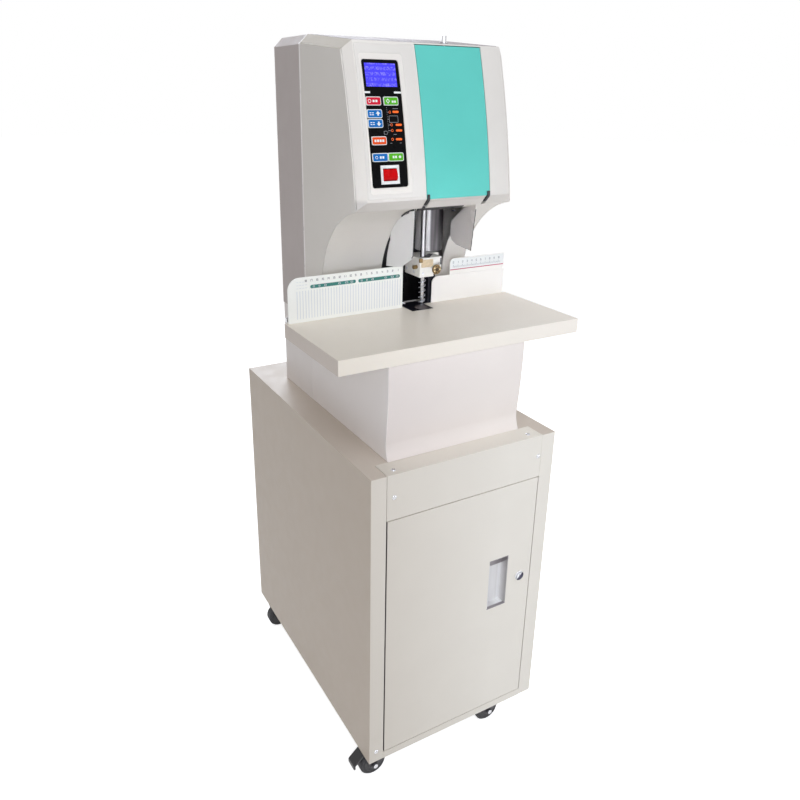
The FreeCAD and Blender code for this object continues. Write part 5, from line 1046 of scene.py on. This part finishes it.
def camera():
    """Camera at the photograph's place and angle; focal length and centre are in pixels of its frame."""
    place = (-0.6347, -1.0738, 1.1404)
    turn, pitch, roll = 0.5177, 0.3521, 0.0125
    frame_width, focal, centre_x, centre_y = 800, 728.6, 384.2, 360.3
    data = bpy.data.cameras.new("camera")
    item = new_object("camera", data)
    ahead = Vector((math.sin(turn) * math.cos(pitch), math.cos(turn) * math.cos(pitch), -math.sin(pitch)))
    right = ahead.cross(Vector((0, 0, 1))).normalized()
    up = right.cross(ahead)
    right, up = (math.cos(roll) * right + math.sin(roll) * up, math.cos(roll) * up - math.sin(roll) * right)
    rotation = Matrix((right, up, -ahead)).transposed()
    item.matrix_world = Matrix.Translation(place) @ rotation.to_4x4()
    data.sensor_width = 36
    data.lens = focal / frame_width * data.sensor_width
    data.shift_x = 0.5 - centre_x / frame_width
    data.shift_y = centre_y / frame_width - 0.5
    bpy.context.scene.camera = item


def lamp(name, place, aim, size, power, spread=180):
    """Square lamp: its place and aim in metres, side, power in watts, and its beam's angle in degrees."""
    data = bpy.data.lights.new(name, "AREA")
    data.size = size
    data.energy = power
    data.color = COOL
    data.spread = math.radians(spread)
    item = new_object(name, data)
    item.location = place
    item.rotation_mode = "QUATERNION"
    item.rotation_quaternion = (Vector(aim) - Vector(place)).to_track_quat("-Z", "Y")


def seen_share(tree):
    """One for rays from the camera, in reflections and through clear parts, else zero."""
    path = tree.nodes.new("ShaderNodeLightPath")
    share = path.outputs["Is Camera Ray"]
    for kind in ("Is Glossy Ray", "Is Transmission Ray"):
        larger = tree.nodes.new("ShaderNodeMath")
        larger.operation = "MAXIMUM"
        tree.links.new(share, larger.inputs[0])
        tree.links.new(path.outputs[kind], larger.inputs[1])
        share = larger.outputs[0]
    return share


def surroundings():
    """World: warm dim light on the part, and white behind it, in reflections and through clear parts."""
    world = bpy.data.worlds.new("studio")
    world.use_nodes = True
    bpy.context.scene.world = world
    tree = world.node_tree
    mixed = tree.nodes.new("ShaderNodeMixShader")
    tree.links.new(seen_share(tree), mixed.inputs[0])
    shades = ((tree.nodes["Background"], WORLD_TINT, WORLD_LIGHT),
              (tree.nodes.new("ShaderNodeBackground"), WHITE, 1.0))
    for index, (node, colour, strength) in enumerate(shades, 1):
        node.inputs["Color"].default_value = colour
        node.inputs["Strength"].default_value = strength
        tree.links.new(node.outputs[0], mixed.inputs[index])
    tree.links.new(mixed.outputs[0], tree.nodes["World Output"].inputs["Surface"])


def floor():
    """Pale round floor that shows white apart from the part's soft shadow."""
    radius, depth = 20000, 20.0
    mesh = bmesh.new()
    prism(mesh, disc(0, 0, radius, 64), -depth, 0.0, "XY")
    item = mesh_object("floor", mesh)
    kit = Nodes("floor")
    kit.set(Base_Color=(0.8, 0.8, 0.8, 1), Roughness=0.9, Specular_IOR_Level=0.0, Emission_Color=WHITE,
            Emission_Strength=kit.math("MULTIPLY", seen_share(kit.tree), FLOOR_GLOW))
    item.data.materials.append(kit.material)


camera()
surroundings()
floor()
for settings in (("front_softbox", (-0.8, -1.8, 1.3), (0, 0, 0.9), 1.0, 12.5),
                 ("top_softbox", (-0.2, -1.0, 2.6), (0, -0.1, 0.9), 1.4, 12),
                 ("left_softbox", (-1.6, -1.0, 1.4), (0, 0, 1.0), 0.8, 0.6),
                 ("throat_softbox", (-0.58, -1.05, 0.94), (0.02, -0.05, 0.9), 0.2, 0.04, 16),
                 ("rear_softbox", (0.6, 2.2, 1.5), (0, 0, 0.7), 1.4, 22),
                 ("right_softbox", (1.15, -1.25, 0.6), (0, -0.25, 0.45), 0.9, 5.5)):
    lamp(*settings)
bpy.context.scene.view_settings.view_transform = "Standard"
